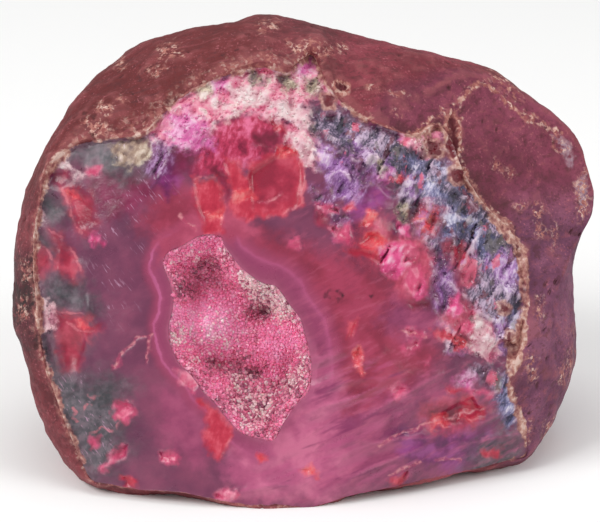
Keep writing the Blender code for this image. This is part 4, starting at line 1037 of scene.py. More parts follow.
faceTones = {  # in the order laid on: edge width and raggedness in mm, grain, dark, middle and light tone
    "crimson": (6.0, 2.5, "soft", (154, 56, 80), (168, 62, 88), (180, 68, 98)),
    "mauve": (5.0, 2.5, "soft", (152, 68, 106), (166, 76, 114), (178, 84, 122)),
    "blush": (3.0, 2.0, "soft", (180, 74, 104), (192, 82, 112), (204, 90, 122)),
    "haze": (5.0, 2.0, "soft", (186, 90, 130), (200, 100, 140), (218, 118, 154)),
    "ruby": (3.0, 2.4, "fibres", (136, 34, 66), (196, 58, 94), (240, 120, 160)),
    "dusk": (5.0, 3.0, "soft", (110, 48, 82), (128, 58, 94), (146, 70, 108)),
    "amethyst": (2.6, 2.0, "soft", (104, 32, 90), (134, 46, 110), (164, 74, 142)),
    "mulberry": (3.4, 2.0, "soft", (116, 32, 66), (132, 40, 78), (150, 56, 94)),
    "smoke": (6.6, 2.8, "mist", (66, 64, 70), (92, 86, 94), (122, 108, 118)),
    "slate": (3.0, 3.4, "chips", (48, 42, 62), (100, 86, 112), (208, 180, 208)),
    "violet": (3.4, 3.2, "chips", (84, 38, 84), (132, 68, 122), (200, 152, 204)),
    "periwinkle": (2.4, 2.4, "chips", (84, 84, 122), (146, 140, 184), (228, 222, 244)),
    "lilac": (2.8, 2.8, "chips", (148, 90, 160), (206, 152, 216), (250, 228, 250)),
    "sugar": (1.8, 2.4, "sugar", (222, 92, 134), (250, 160, 184), (255, 236, 230)),
    "magenta": (2.6, 2.6, "sugar", (170, 56, 126), (232, 112, 180), (252, 190, 226)),
    "olive": (1.8, 2.0, "chips", (92, 82, 84), (160, 140, 122), (232, 214, 188)),
    "soot": (0.5, 0.3, "mist", (56, 22, 38), (84, 32, 52), (112, 44, 66)),
    "tan": (1.6, 2.2, "sugar", (132, 104, 98), (186, 156, 138), (240, 222, 200)),
    "coral": (3.4, 2.6, "split", (150, 58, 82), (198, 76, 104), (232, 112, 140)),
    "wine": (1.8, 1.4, "soft", (112, 30, 56), (142, 40, 70), (170, 54, 84)),
    "fuchsia": (1.4, 1.4, "sugar", (196, 48, 106), (248, 92, 156), (255, 186, 214)),
    "cherry": (1.4, 1.1, "split", (178, 40, 66), (208, 60, 84), (242, 106, 126)),
    "rose": (1.5, 1.3, "split", (200, 64, 104), (230, 92, 134), (254, 160, 184)),
    "brick": (2.8, 1.6, "soft", (158, 46, 70), (182, 54, 80), (208, 80, 104)),
    "scarlet": (1.3, 1.2, "split", (210, 54, 76), (244, 88, 100), (255, 160, 156)),
    "cream": (1.4, 2.2, "sugar", (214, 140, 160), (244, 202, 208), (255, 242, 240)),
}


def agateMaterial():
    paint = Paint("dyedAgate")
    x, y = (paint.node("ShaderNodeSeparateXYZ", values={"Vector": paint.place}, output=k) for k in "XY")
    broad = paint.cloud(13.0, 1, 3.0)
    soft = paint.cloud(5.0, 2, 4.0)
    fine = paint.cloud(1.1, 3, 3.0)
    specks = paint.cloud(0.45, 4, 2.0)
    smallCells = paint.grains(0.62, 6)
    smallRandom = paint.node("ShaderNodeSeparateColor", values={"Color": smallCells}, output="Green")
    edgeNoise = paint.cloud(1.6, 7, 4.0) - 0.5
    block, bit, crest = (paint.field(name) for name in ("block", "bit", "crest"))
    glint = paint.field("glint")
    skin = paint.field("skin")
    strokes = paint.ease(paint.cloud(0.9, 13, 4.0, turned=stone["grain"], drawn=3.5), 0.34, 0.66)
    crumbs = paint.ease(fine, 0.34, 0.66)
    hairs = paint.ease(paint.cloud(0.38, 26, 3.0, turned=stone["grain"], drawn=3.0), 0.36, 0.64)
    fibres = paint.ease(paint.cloud(0.9, 20, 4.0, turned=75, drawn=3.0), 0.34, 0.66)
    sheen = paint.cloud(1.0, 24, 5.0, turned=28, drawn=4.0)
    cleft = paint.ease(paint.cloud(0.9, 14, 4.0, turned=75, drawn=3.0), 0.3, 0.7)
    # In split, chips and sugar the crest term lightens raised points and darkens hollows: painted highlight
    # and shade.
    grain = {
        "soft": paint.ease(soft, 0.32, 0.68),
        "mist": paint.ease(soft, 0.3, 0.7) * 0.6 + crumbs * 0.4,
        "fibres": fibres * 0.4 + paint.ease(soft, 0.3, 0.7) * 0.4 + crumbs * 0.2,
        "split": cleft * 0.25 + paint.ease(soft, 0.3, 0.7) * 0.5 + crumbs * 0.15 + crest * 0.35,
        "chips": block * 0.58 + bit * 0.14 + strokes * 0.24 + hairs * 0.30 + crumbs * 0.08 - 0.20
        + glint * 0.16 + crest * 0.8,
        "sugar": paint.ease(soft, 0.32, 0.68) * 0.4 + block * 0.25 + bit * 0.2 + strokes * 0.2 + crumbs * 0.2
        - 0.12 + glint * 0.2 + crest * 0.6}

    colour = paint.ramp(paint.ease(broad * 0.6 + soft * 0.4, 0.36, 0.64),
                        (0.0, (112, 60, 88)), (0.5, (128, 66, 96)), (1.0, (146, 74, 104)))
    rough = paint.ease(soft, 0.3, 0.8) * 0.12 + 0.27
    for name, (width, wanders, kind, dark, middle, light) in faceTones.items():
        edge = paint.field(name) + edgeNoise * (2.0 * wanders)
        mask = paint.ease(edge, -0.5 * width, 0.5 * width)
        tone = paint.ramp(grain[kind], (0.12, dark), (0.5, middle), (0.88, light))
        colour = paint.blend(mask, colour, tone)
        if name in brokenTones + ("smoke",):
            rough = rough + (0.5 - rough) * mask
        if name == "mauve":  # the bands round the hollow lie between the soft tones
            colour = hollowBands(paint, colour, x, y, soft)
        if name == "smoke":
            streaked = paint.ease(x, -6.0, 4.0) * 0.16 + 0.04
            colour = paint.tint(paint.ease(sheen, 0.53, 0.66) * streaked, colour, 222, 112, 144)
            colour = paint.tint(paint.ease(sheen, 0.47, 0.34) * streaked, colour, 104, 34, 66)
            colour = surfaceMarks(paint, colour, soft, crest)
    crack = paint.field("crack") + (fine - 0.5) * 0.5
    beads = paint.ease(fine, 0.40, 0.56) * 0.6 + 0.3
    colour = paint.blend(paint.ease(crack, 0.46, 0.0) * beads, colour,
                         paint.ramp(fine, (0.4, (214, 82, 118)), (0.6, (242, 160, 168))))

    edgeLine = paint.field("edge") + (fine - 0.5) * 0.7
    outlined = paint.ease(edgeLine, 0.34, 0.02) * paint.ease(soft, 0.36, 0.56)
    colour = paint.tint(outlined * 0.6, colour, 236, 132, 146)

    broken = paint.field("broken")
    chipped = paint.ease(paint.field("slate") + edgeNoise * 4.0, -0.5, 1.5)
    for seed, low, share, tint in ((16, 0.56, 0.8, (132, 66, 84)), (17, 0.57, 0.5, (128, 116, 104)),
                                   (18, 0.61, 0.6, (200, 130, 190)), (19, 0.60, 0.8, (240, 110, 140))):
        mask = paint.ease(paint.cloud(3.2, seed, 4.0, turned=stone["grain"], drawn=1.6), low, low + 0.06)
        colour = paint.tint(mask * chipped * share, colour, *tint)
    sweet = paint.node("ShaderNodeMath", {"operation": "MAXIMUM"}, {
        0: paint.field("sugar"), 1: paint.field("magenta")})
    sweet = paint.ease(sweet + edgeNoise * 2.0, -0.6, 0.6)
    # Painted shade in the hollows of the broken ground (a pinker shade on the sugary parts), then painted
    # highlight on its raised points.
    colour = paint.blend(paint.ease(crest, -0.03, -0.30) * (0.04 + broken * (0.45 - sweet * 0.3)), colour,
                         paint.blend(sweet, shade(56, 28, 52), shade(176, 76, 110)))
    colour = paint.tint(paint.ease(crest, 0.06, 0.3) * broken * 0.35, colour, 246, 214, 228)
    # painted sparkles: small pale glints scattered over the broken ground
    paintedSparkles = paint.ease(specks + glint * 0.06, 0.64, 0.72)
    colour = paint.tint(paintedSparkles * broken * 0.5, colour, 250, 220, 238)

    crusted = paint.field("crusted") + edgeNoise * 2.8 + (soft - 0.5) * 2.0
    cells = paint.grains(1.3, 15, "DISTANCE_TO_EDGE", "Distance")
    # the crest term makes the crust paler on its raised points: painted highlight
    crumbly = cells * 0.9 + (0.5 - fine) * 1.6 + (0.5 - soft) * 0.8 + smallRandom * 0.2 - crest * 0.4 + 0.12
    crustTone = paint.ramp(crumbly, (0.0, (234, 198, 186)), (0.14, (214, 162, 148)), (0.34, (188, 130, 120)),
                           (0.6, (154, 90, 90)), (0.95, (116, 56, 64)))
    colour = paint.blend(paint.ease(crusted, -0.2, 0.4), colour, crustTone)
    cell = paint.field("ring") + edgeNoise * 0.9
    colour = paint.blend(paint.ease(cell, -0.9, -0.3) * 0.85, colour, crustTone)
    colour = paint.tint(paint.ease(cell, -0.05, 0.3), colour, 122, 48, 58)
    onRind = paint.ease(skin + edgeNoise * 0.9, 0.1, -0.1)
    rind, rindRough = rindColour(paint, x, y, broad, soft, fine, specks, smallRandom, edgeNoise, skin, crest)
    rind = paint.blend(paint.ease(crusted, 0.1, 0.6), rind, crustTone)
    colour = paint.blend(onRind, colour, rind)
    rough = rough + (rindRough - rough) * onRind

    height = smallRandom * broken * 0.8 + fine * 0.3 + specks * 0.12
    height = height + (specks * 0.6 + fine * 1.2 - height) * onRind
    normal = paint.bump(height, 0.00035, 0.5)
    return paint.finish({"Base Color": colour, "Roughness": rough, "Normal": normal, "IOR": 1.54,
                         "Specular IOR Level": 0.5})


def hollowBands(paint, colour, x, y, soft):
    wider = 1.0 + paint.ease(x, -14.0, -3.0) * 0.6
    distance = (paint.field("mouth") + (soft - 0.5) * 2.4) / wider
    bands = paint.ramp(
        distance / 6.0, (0.0, (174, 90, 122)), (0.07, (162, 76, 110)), (0.22, (160, 70, 108)),
        (0.30, (168, 76, 114)), (0.365, (188, 88, 130)), (0.42, (174, 76, 112)), (0.62, (162, 66, 98)))
    colour = paint.blend(paint.ease(distance, 4.4, 2.2), colour, bands)
    beside = distance - 2.25
    line = (paint.ease(beside * beside, 0.10, 0.01) * paint.ease(x, -12.0, -16.0)
            * paint.ease(y, -23.0, -15.0))
    return paint.tint(line * (0.25 + paint.ease(soft, 0.36, 0.6) * 0.35), colour, 214, 112, 162)


def surfaceMarks(paint, colour, soft, crest):  # light and dark streaks at the lower right, partly its flow lines and partly painted highlight and shade of its ridges, with a painted highlight on its raised points; fine scratches at the left
    streaks = paint.cloud(2.2, 11, 4.0, turned=21, drawn=6.0)
    flow = paint.ease(paint.field("flow"), -2.0, 3.0)
    colour = paint.tint(flow * paint.ease(streaks, 0.54, 0.68) * 0.5, colour, 204, 96, 142)
    colour = paint.tint(flow * paint.ease(streaks, 0.46, 0.34) * 0.6, colour, 126, 44, 92)
    # painted highlight on the raised points of the streaky lower right
    colour = paint.tint(flow * paint.ease(crest, 0.04, 0.25) * 0.5, colour, 222, 118, 158)
    scratches = paint.cloud(0.42, 12, 2.0, turned=-52, drawn=7.0)
    mask = paint.ease(scratches, 0.60, 0.68) * paint.ease(paint.field("scratched"), -1.0, 3.0)
    return paint.tint(mask * paint.ease(soft, 0.42, 0.58) * 0.6, colour, 214, 166, 196)


def rindColour(paint, x, y, broad, soft, fine, specks, smallRandom, edgeNoise, skin, crest):
    mottle = paint.ease(broad * 0.45 + soft * 0.35 + fine * 0.2, 0.38, 0.62)
    colour = paint.ramp(mottle, (0.0, (98, 38, 44)), (0.5, (118, 48, 56)), (1.0, (142, 62, 70)))
    rightSide = paint.ramp(mottle, (0.0, (106, 54, 82)), (0.5, (128, 70, 100)), (1.0, (150, 88, 116)))
    flatTone = paint.ramp(mottle, (0.0, (118, 46, 68)), (0.5, (138, 58, 82)), (1.0, (154, 72, 96)))
    flatShare = paint.ease(paint.field("flat"), 0.0, 1.6)
    middle = paint.ramp(mottle, (0.0, (120, 42, 54)), (0.5, (142, 54, 68)), (1.0, (160, 66, 82)))
    colour = paint.blend(paint.ease(x, 2.0, 12.0) * paint.ease(x, 36.0, 26.0), colour, middle)
    colour = paint.blend(flatShare, colour, flatTone)
    colour = paint.blend(paint.ease(x, 33.0, 41.0) * paint.ease(y, 17.0, 5.0), colour, rightSide)
    # painted shade: the far left of the rind made much darker
    paintedLeftShade = paint.ramp(mottle, (0.0, (52, 22, 32)), (0.5, (72, 30, 42)), (1.0, (104, 48, 58)))
    colour = paint.blend(paint.ease(x, -41.0, -46.0) * paint.ease(y, 5.0, 0.0) * paint.ease(y, -22.0, -12.0),
                         colour, paintedLeftShade)
    # painted shade: the rind's upper left made darker and redder against the sheen the lights give it
    colour = paint.tint(paint.ease(x, 0.0, -14.0) * paint.ease(y, 8.0, 18.0) * 0.7, colour, 114, 18, 32)
    veins = paint.cloud(1.3, 41, 5.0, turned=24, drawn=5.0)
    colour = paint.tint(paint.ease(veins, 0.46, 0.34) * 0.5, colour, 88, 32, 42)
    colour = paint.tint(paint.ease(veins, 0.56, 0.68) * 0.35, colour, 172, 88, 96)
    lightSpecks = paint.ease(specks, 0.60, 0.68) * paint.ease(soft, 0.4, 0.6)
    colour = paint.tint(lightSpecks * 0.6, colour, 196, 112, 122)
    colour = paint.tint(paint.ease(specks, 0.40, 0.33) * 0.55, colour, 84, 34, 46)
    colour = paint.tint(paint.field("pit") * 0.7, colour, 74, 24, 34)
    chalk = paint.ease(paint.field("chalk") + edgeNoise * 2.4, -0.3, 0.7)
    colour = paint.tint(chalk * paint.ease(fine, 0.26, 0.50) * 0.85, colour, 184, 154, 168)
    # painted highlight on the rind's raised points and painted shade in its hollows, stronger towards the
    # front
    nearFront = paint.ease(skin, -32.0, -14.0) * 0.75 + 0.25
    colour = paint.tint(paint.ease(crest, 0.03, 0.2) * nearFront * 0.4, colour, 176, 96, 100)
    colour = paint.tint(paint.ease(crest, -0.03, -0.2) * nearFront * 0.5, colour, 84, 30, 42)
    chips = paint.ramp(smallRandom, (0.1, (160, 86, 84)), (0.6, (206, 138, 124)), (0.95, (240, 200, 186)))
    fleck = paint.field("fleck") + edgeNoise * 3.0
    flecked = paint.ease(fleck, -0.9, 0.8) * paint.ease(fine + (specks - 0.5) * 0.6, 0.42, 0.60)
    colour = paint.blend(flecked, colour, chips)
    rim = paint.ease(skin + edgeNoise * 5.0, -3.2, -0.4) * paint.ease(x, 10.0, -4.0)
    colour = paint.blend(rim * paint.ease(fine, 0.38, 0.62) * 0.5, colour, chips)
    ring = paint.field("ring") + edgeNoise * 0.8
    colour = paint.blend(paint.ease(ring, -0.6, -0.1) * 0.8, colour, chips)
    colour = paint.tint(paint.ease(ring, 0.1, 0.4), colour, 116, 46, 56)
    seam = paint.field("seam") + edgeNoise * 3.0
    colour = paint.blend(paint.ease(seam, 0.75, 0.1) * paint.ease(fine, 0.38, 0.54), colour, chips)
    return colour, 0.74 + (fine - 0.5) * 0.2


def quartzMaterial():
    paint = Paint("quartzCrystal")
    glint, rosy, deep, pale, coarse = (paint.field(n) for n in ("glint", "rosy", "deep", "pale", "coarse"))
    soft = paint.cloud(1.6, 31, 4.0)
    tone = rosy * 0.82 + glint * (coarse * 0.26 + 0.04) + (soft - 0.5) * 0.8
    colour = paint.ramp(tone, (0.0, (160, 94, 118, 1.0)), (0.22, (218, 118, 148, 1.0)),
                        (0.45, (252, 126, 168, 1.0)), (0.7, (255, 142, 184, 1.0)),
                        (1.0, (255, 172, 206, 1.0)))
    # painted shade: darker where the deep spots lie, in the dips of the crust
    dark = paint.ease(deep + (soft - 0.5) * 1.2 - glint * 0.2, 0.3, 0.85)
    colour = paint.tint(dark * 0.62, colour, 126, 80, 96)
    # partly pale crystals, partly painted glints on single crystals
    paleAndGlints = paint.ease(pale + glint * 0.6 + (soft - 0.5) * 0.9, 0.4, 1.2)
    colour = paint.tint(paleAndGlints * 0.9, colour, 250, 214, 214, 0.95)
    return paint.finish({"Base Color": colour, "Roughness": 0.16 + soft * 0.2, "IOR": 1.54,
                         "Transmission Weight": 0.04, "Subsurface Weight": 0.5,
                         "Subsurface Radius": (1.0, 0.45, 0.6), "Subsurface Scale": 0.0008})


crust = {
    "bedDepth": 7.6, "edgeDepth": 0.35, "edgeRun": 4.5,
    "sunk": 0.15,  # the bed below the crystals' middle height
    "lumps": ((0.5, 2.4, 51.0), (0.25, 1.0, 52.0)),  # height, spacing, seed
    "rings": ((0.985, 0.3), (0.94, 0.55), (0.78, 0.8), (0.45, 0.96)),  # as the stone's hollowRings
    "clear": 0.56,  # the crust's back kept off the agate behind it
    "gap": 0.06,  # to the wall of the hollow
    "step": 0.62,
    "swells": (  # x, y, reach across, reach up, how far it stands out
        (-16.2, -11.3, 5.6, 4.8, 4.8), (-3.6, -14.3, 4.0, 4.2, 3.6), (-20.0, 0.8, 3.0, 2.6, 2.6),
        (-16.0, 2.3, 2.6, 1.8, 1.8), (-6.0, -5.6, 4.0, 2.0, 1.6), (-13.0, -22.0, 3.0, 2.0, 1.8),
        (-9.0, -27.0, 5.0, 3.6, 2.6), (-6.2, -9.0, 2.2, 1.8, -2.4), (-20.6, -5.2, 2.0, 1.5, -1.6),
        (-15.5, -18.2, 4.2, 1.6, -2.0), (-8.0, -19.7, 2.8, 1.4, -2.0)),
    "rosy": (  # x, y, reach across, reach up, how pink
        (-16.2, -11.5, 7.0, 6.0, 0.62), (-3.6, -14.5, 4.4, 4.6, 0.42), (-20.8, 0.0, 2.6, 2.2, 0.3),
        (-16.4, 2.5, 2.6, 2.0, 0.36), (-14.5, -21.5, 2.0, 1.4, 0.3), (-4.3, -20.0, 2.4, 1.2, 0.3),
        (-11.9, -27.9, 2.0, 2.0, 0.25), (-12.5, -4.0, 4.0, 2.2, 0.15)),
    "pale": (  # x, y, reach across, reach up, how pale: pale crystals with painted glints among them
        (-8.6, -3.4, 2.6, 2.0, 1.0), (-5.6, -6.0, 2.8, 2.2, 1.2), (-2.6, -8.4, 2.6, 2.4, 1.1),
        (-12.6, 1.6, 1.4, 2.0, 0.6), (-22.4, -0.6, 1.0, 2.0, 0.6), (-21.5, -13.2, 1.5, 2.4, 0.7),
        (-18.6, -17.4, 1.6, 1.2, 0.5), (-14.0, -18.4, 1.6, 1.2, 0.5), (0.6, -17.5, 1.2, 3.6, 0.7),
        (-1.6, -21.5, 2.2, 2.2, 0.7), (-8.0, -25.5, 5.0, 4.5, 0.7), (-11.0, -21.4, 2.4, 1.6, 0.5),
        (-15.5, -12.5, 5.5, 4.5, 0.5), (-18.0, 0.6, 3.0, 2.4, 0.4)),
    "deep": (  # x, y, reach across, reach up, how dark: painted shade in the crust's dips
        (-20.6, -5.2, 2.4, 1.9, 0.9), (-16.1, -2.2, 1.3, 1.1, 0.5), (-13.2, -4.8, 1.5, 1.1, 0.5),
        (-6.1, -8.9, 2.2, 1.6, 0.85), (-9.2, -4.6, 1.2, 0.8, 0.7), (-8.6, -8.0, 1.6, 2.2, 0.45),
        (-16.0, -17.6, 3.4, 1.6, 0.65), (-8.0, -19.7, 2.8, 1.5, 0.7), (-12.4, 0.8, 1.2, 1.6, 0.5),
        (-21.7, -12.6, 1.2, 2.2, 0.5), (-1.2, -21.5, 2.2, 2.2, 0.45), (-7.5, -26.0, 4.5, 4.0, 0.3),
        (0.8, -18.0, 1.0, 3.0, 0.4)),
    "crystal": {"spacing": 0.38, "density": 10.0, "least": 0.45, "most": 1.15, "tilt": 0.9, "seed": 5},
}


def spots(points, rows, steepness=2):
    total = np.zeros(len(points))
    for x, y, across, up, amount in rows:
        distance = np.hypot((points[:, 0] - x) / across, (points[:, 1] - y) / up)
        total += amount * np.exp(-distance**steepness)
    return total


def crystalBed(points, mouth):
    depth = crust["bedDepth"] - spots(points, crust["swells"])
    share = ease(within(points, mouth) / crust["edgeRun"])
    return -crust["edgeDepth"] - (depth - crust["edgeDepth"]) * share


def makeBed():
    rng = random.Random(11)
    mouth = coarseMouth
    middle = mouth.mean(0)

    def inward(places, distance):  # moved that far towards the middle
        arms = places - middle
        return middle + arms * (1.0 - distance / np.hypot(*arms.T))[:, None]

    edge = inward(mouth, crust["gap"])
    flat, faces, place = triangulate([edge], spreadPoints(edge, [], crust["step"], rng),
                                     lambda c: within(c, edge) > 0.0)
    height = crystalBed(flat, mouth) + 0.5 * faceShape(flat) - crust["sunk"]
    for lump, spacing, seed in crust["lumps"]:
        height = height + lump * wave(flat, spacing, seed)
    bm = bmesh.new()
    top = [bm.verts.new((x, y, z)) for (x, y), z in zip(flat, height)]
    for face in faces:
        bm.faces.new([top[i] for i in face])
    rings, deepest = hollowRings(mouth, faceShape(mouth), crust["rings"])
    ring = [top[place[i]] for i in range(len(edge))]
    for ringPoints in rings:
        closer = inward(ringPoints[:, :2], crust["clear"])
        behind = [bm.verts.new((x, y, z + crust["clear"])) for (x, y), z in zip(closer, ringPoints[:, 2])]
        for i in range(len(ring)):
            j = (i + 1) % len(ring)
            bm.faces.new((ring[i], behind[i], behind[j], ring[j]))
        ring = behind
    tip = bm.verts.new((deepest[0], deepest[1], deepest[2] + crust["clear"]))
    for i in range(len(ring)):
        bm.faces.new((ring[i], tip, ring[(i + 1) % len(ring)]))
    bmesh.ops.recalc_face_normals(bm, faces=bm.faces[:])
    mesh = meshFrom(bm, "quartzCrust")
    places = meshPoints(mesh)[:, :2]
    onTop = np.arange(len(places)) < len(flat)
    plan = places + drift(places, 0.7, 1.6, 56.0)
    rosy = spots(plan, crust["rosy"], 4)
    for name, values in {
            "rosy": 0.34 + rosy + 0.2 * wave(plan, 2.6, 53.0),
            "deep": spots(plan, crust["deep"]) * (1.0 + 0.5 * wave(plan, 1.3, 54.0)),
            "pale": spots(plan, crust["pale"]) * (1.1 + 0.7 * wave(plan, 0.8, 55.0)),
            "coarse": 1.0 - 1.1 * rosy}.items():
        setField(mesh, name, np.clip(values, 0, 1))
    setField(mesh, "crowding", np.where(onTop, ease((within(places, edge) - 0.1) / 0.4), 0.0))
    return mesh


def meshPoints(mesh):
    points = np.empty(len(mesh.vertices) * 3)
    mesh.vertices.foreach_get("co", points)
    return points.reshape(-1, 3)


def setField(mesh, name, values):
    mesh.attributes.new(name, "FLOAT", "POINT").data.foreach_set("value", np.asarray(values, np.float32))


def fieldOn(mesh, name):
    values = np.empty(len(mesh.vertices), np.float32)
    mesh.attributes[name].data.foreach_get("value", values)
    return values


def scatterTree():  # small crystals standing on a bed, crowded where its "crowding" is high
    tree = bpy.data.node_groups.new("crystalScatter", "GeometryNodeTree")
    for name, kind in (("Bed", "Geometry"), ("Crystal", "Object"), ("Spacing", "Float"),
                       ("Density", "Float"), ("Least", "Float"), ("Most", "Float"), ("Tilt", "Float"),
                       ("Seed", "Int"), ("Keep Bed", "Bool"), ("Finish", "Material")):
        tree.interface.new_socket(name, in_out="INPUT", socket_type="NodeSocket" + kind)
    tree.interface.new_socket("Crystals", in_out="OUTPUT", socket_type="NodeSocketGeometry")
    graph = Graph(tree)
    given = graph.node("NodeGroupInput").socket.node
    take = {socket.name: Signal(graph, socket) for socket in given.outputs if socket.name}
    crowding, coarse = (
        graph.node("GeometryNodeInputNamedAttribute", {"data_type": "FLOAT"}, {"Name": name})
        for name in ("crowding", "coarse"))

    def even(value, last=None):  # one value on all three axes, or another on the last
        return graph.node("ShaderNodeCombineXYZ", values={0: value, 1: value, 2: last or value})

    def anyFrom(kind, least, most, seed, output=0, first=0):
        return graph.node("FunctionNodeRandomValue", {"data_type": kind}, {
            first: least, first + 1: most, "Seed": take["Seed"] + seed}, output)

    scattered = graph.node("GeometryNodeDistributePointsOnFaces", {"distribute_method": "POISSON"}, {
        "Mesh": take["Bed"], "Distance Min": take["Spacing"], "Density Max": take["Density"],
        "Density Factor": crowding, "Seed": take["Seed"]})
    facing = Signal(graph, scattered.socket.node.outputs["Rotation"])
    points = graph.node("GeometryNodeStoreNamedAttribute", {"data_type": "FLOAT", "domain": "POINT"}, {
        "Geometry": scattered, "Name": "glint", "Value": anyFrom("FLOAT", -1.0, 1.0, 1.0, 1, 2)})
    lean = even(take["Tilt"], math.pi)
    back = graph.node("ShaderNodeVectorMath", {"operation": "SCALE"}, {0: lean, "Scale": -1.0})
    facing = graph.node("FunctionNodeRotateRotation", {"rotation_space": "LOCAL"}, {
        "Rotation": facing, "Rotate By": anyFrom("FLOAT_VECTOR", back, lean, 2.0)})
    size = anyFrom("FLOAT_VECTOR", even(take["Least"]), even(take["Most"]), 3.0)
    size = graph.node("ShaderNodeVectorMath", {"operation": "SCALE"}, {
        0: size, "Scale": coarse * 0.28 + 0.62})
    shape = graph.node("GeometryNodeObjectInfo", values={"Object": take["Crystal"]}, output="Geometry")
    crystals = graph.node("GeometryNodeInstanceOnPoints", values={
        "Points": points, "Instance": shape, "Rotation": facing, "Scale": size})
    bed = graph.node("GeometryNodeSwitch", {"input_type": "GEOMETRY"}, {
        "Switch": take["Keep Bed"], "True": take["Bed"]})
    joined = graph.node("GeometryNodeJoinGeometry", values={0: crystals})
    tree.links.new(bed.socket, joined.socket.node.inputs[0])
    solid = graph.node("GeometryNodeRealizeInstances", values={"Geometry": joined})
    finished = graph.node("GeometryNodeSetMaterial", values={"Geometry": solid, "Material": take["Finish"]})
    graph.node("NodeGroupOutput", values={0: finished})
    return tree


def hexagonalPoint():  # one crystal, 1 mm across: six sides, a six-sided tip, closed below
    bm = bmesh.new()
    rings = []
    for height, radius in ((-0.6, 0.46), (0.14, 0.5)):
        rings.append([bm.verts.new((radius * math.cos(k * math.pi / 3), radius * math.sin(k * math.pi / 3),
                                    height)) for k in range(6)])
    tip = bm.verts.new((0.06, -0.04, 0.62))
    bm.faces.new(rings[0])
    for k in range(6):
        bm.faces.new((rings[0][k], rings[0][(k + 1) % 6], rings[1][(k + 1) % 6], rings[1][k]))
        bm.faces.new((rings[1][k], rings[1][(k + 1) % 6], tip))
    bmesh.ops.recalc_face_normals(bm, faces=bm.faces[:])
    return meshFrom(bm, "hexagonalPoint")


def crumb():  # one blocky grain, about 1 mm across
    bm = bmesh.new()
    bmesh.ops.create_cube(bm, size=0.8)
    rng = random.Random(3)
    for vert in bm.verts:
        vert.co += Vector([rng.uniform(-0.16, 0.16) for _ in range(3)])
    return meshFrom(bm, "crumb")


def scatterOn(bed, shape, sizes, keepBed, material):
    template = bpy.data.objects.new(shape.name, shape)
    holder = bpy.data.objects.new(bed.name, bed)
    bpy.context.scene.collection.objects.link(holder)
    bpy.context.scene.collection.objects.link(template)
    modifier = holder.modifiers.new("crystals", "NODES")
    modifier.node_group = bpy.data.node_groups.get("crystalScatter") or scatterTree()
    wanted = {"Crystal": template, "Keep Bed": keepBed, "Finish": material,
              **{setting.title(): value for setting, value in sizes.items()}}
    for item in modifier.node_group.interface.items_tree:
        if item.name in wanted:
            modifier[item.identifier] = wanted[item.name]
    settled = holder.evaluated_get(bpy.context.evaluated_depsgraph_get())
    mesh = bpy.data.meshes.new_from_object(settled)
    for spare in (holder, template):
        bpy.data.objects.remove(spare)
    return mesh


def makeCrust(material):
    mesh = scatterOn(makeBed(), hexagonalPoint(), crust["crystal"], True, material)
    print("crust:", len(mesh.polygons), "faces")
    return mesh


shelf = {
    "crowding": {"sugar": 0.8, "olive": 0.6, "cream": 0.5, "magenta": 0.6, "lilac": 0.4, "slate": 0.35,
                 "violet": 0.3},
    "fromRim": 0.6,  # none nearer to the rim than this
    "fewest": 0.05,  # faces less crowded than this are left out
    "grain": {"spacing": 0.5, "density": 2.2, "least": 0.25, "most": 0.7, "tilt": 1.2, "seed": 9},
}


def makeGrains(stoneMesh, material):  # loose-looking crystals standing on the crumbly ground
    crowding = most(share * ease(0.5 + fieldOn(stoneMesh, name) / 1.2)
                    for name, share in shelf["crowding"].items())
    crowding *= ease((fieldOn(stoneMesh, "skin") - shelf["fromRim"]) / 0.6)
    bed = stoneMesh.copy()
    bed.name = "shelfGrains"
    setField(bed, "crowding", crowding)
    setField(bed, "coarse", np.ones(len(crowding)))
    bm = bmesh.new()
    bm.from_mesh(bed)
    layer = bm.verts.layers.float["crowding"]
    bare = [f for f in bm.faces if max(v[layer] for v in f.verts) < shelf["fewest"]]
    bmesh.ops.delete(bm, geom=bare, context="FACES")
    bm.to_mesh(bed)
    bm.free()
    mesh = scatterOn(bed, crumb(), shelf["grain"], False, material)
    print("grains:", len(mesh.polygons), "faces")
    return mesh


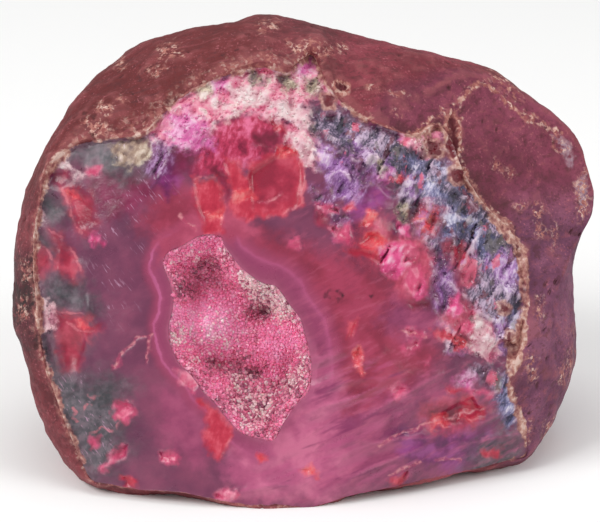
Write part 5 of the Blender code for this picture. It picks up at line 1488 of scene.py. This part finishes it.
agate = agateMaterial()
stoneMesh = makeStone()
storeFields(stoneMesh)
print("fields stored")
grainsMesh = makeGrains(stoneMesh, agate)
crustMesh = makeCrust(quartzMaterial())
for mesh in (stoneMesh, grainsMesh, crustMesh):  # from the face's frame, in mm, into the world
    mesh.transform(intoWorld)
    mesh.update()
stoneMesh.materials.append(agate)
stoneMesh.shade_smooth()
stoneMesh.set_sharp_from_angle(angle=math.radians(stone["sharp"]))
addPiece("agateStone", stoneMesh, "agate_nodule")
addPiece("shelfGrains", grainsMesh, None)
addPiece("quartzCrust", crustMesh, "quartz_druse")
print("pieces added")

studio = {
    "world": 0.48, "floor": (0.93, 0.93, 0.925),
    "lit": (0, 0, 0.04),  # what the lights point at
    "lights": (  # name, place, size, power
        ("key", (-0.75, -0.45, 0.80), 0.60, 7.7), ("right", (0.75, -0.35, 0.55), 0.5, 2.7),
        ("top", (0.05, 0.15, 0.9), 0.6, 2.0)),
    "floorReach": 2.5,
    "view": 13.16,  # degrees across
}


def aim(thing, target):
    way = Vector(target) - thing.location
    thing.rotation_euler = way.to_track_quat("-Z", "Y").to_euler()


def makeStudio():
    scene = bpy.context.scene
    world = bpy.data.worlds.new("studio")
    world.use_nodes = True
    background = world.node_tree.nodes["Background"]
    background.inputs["Color"].default_value = (1, 1, 1, 1)
    background.inputs["Strength"].default_value = studio["world"]
    scene.world = world
    scene.view_settings.view_transform = "Standard"
    for name, place, size, power in studio["lights"]:
        light = bpy.data.lights.new(name, "AREA")
        light.size = size
        light.energy = power
        lamp = bpy.data.objects.new(name, light)
        lamp.location = place
        aim(lamp, studio["lit"])
        scene.collection.objects.link(lamp)
    paper = Paint("palePaper")
    bm = bmesh.new()
    bmesh.ops.create_grid(bm, x_segments=1, y_segments=1, size=studio["floorReach"])
    floorMesh = meshFrom(bm, "floor")
    floorMesh.materials.append(paper.finish({"Base Color": (*studio["floor"], 1.0), "Roughness": 0.9}))
    floor = bpy.data.objects.new("floor", floorMesh)
    scene.collection.objects.link(floor)
    centre = Vector(stance["centre"]) * 0.001
    out = turn.to_3x3() @ Vector((0, 0, 1))
    camera = bpy.data.objects.new("camera", bpy.data.cameras.new("camera"))
    camera.data.angle = math.radians(studio["view"])
    camera.data.clip_start = 0.01
    camera.location = centre + out * stance["seenFrom"] * 0.001
    aim(camera, centre)
    scene.collection.objects.link(camera)
    scene.camera = camera


makeStudio()
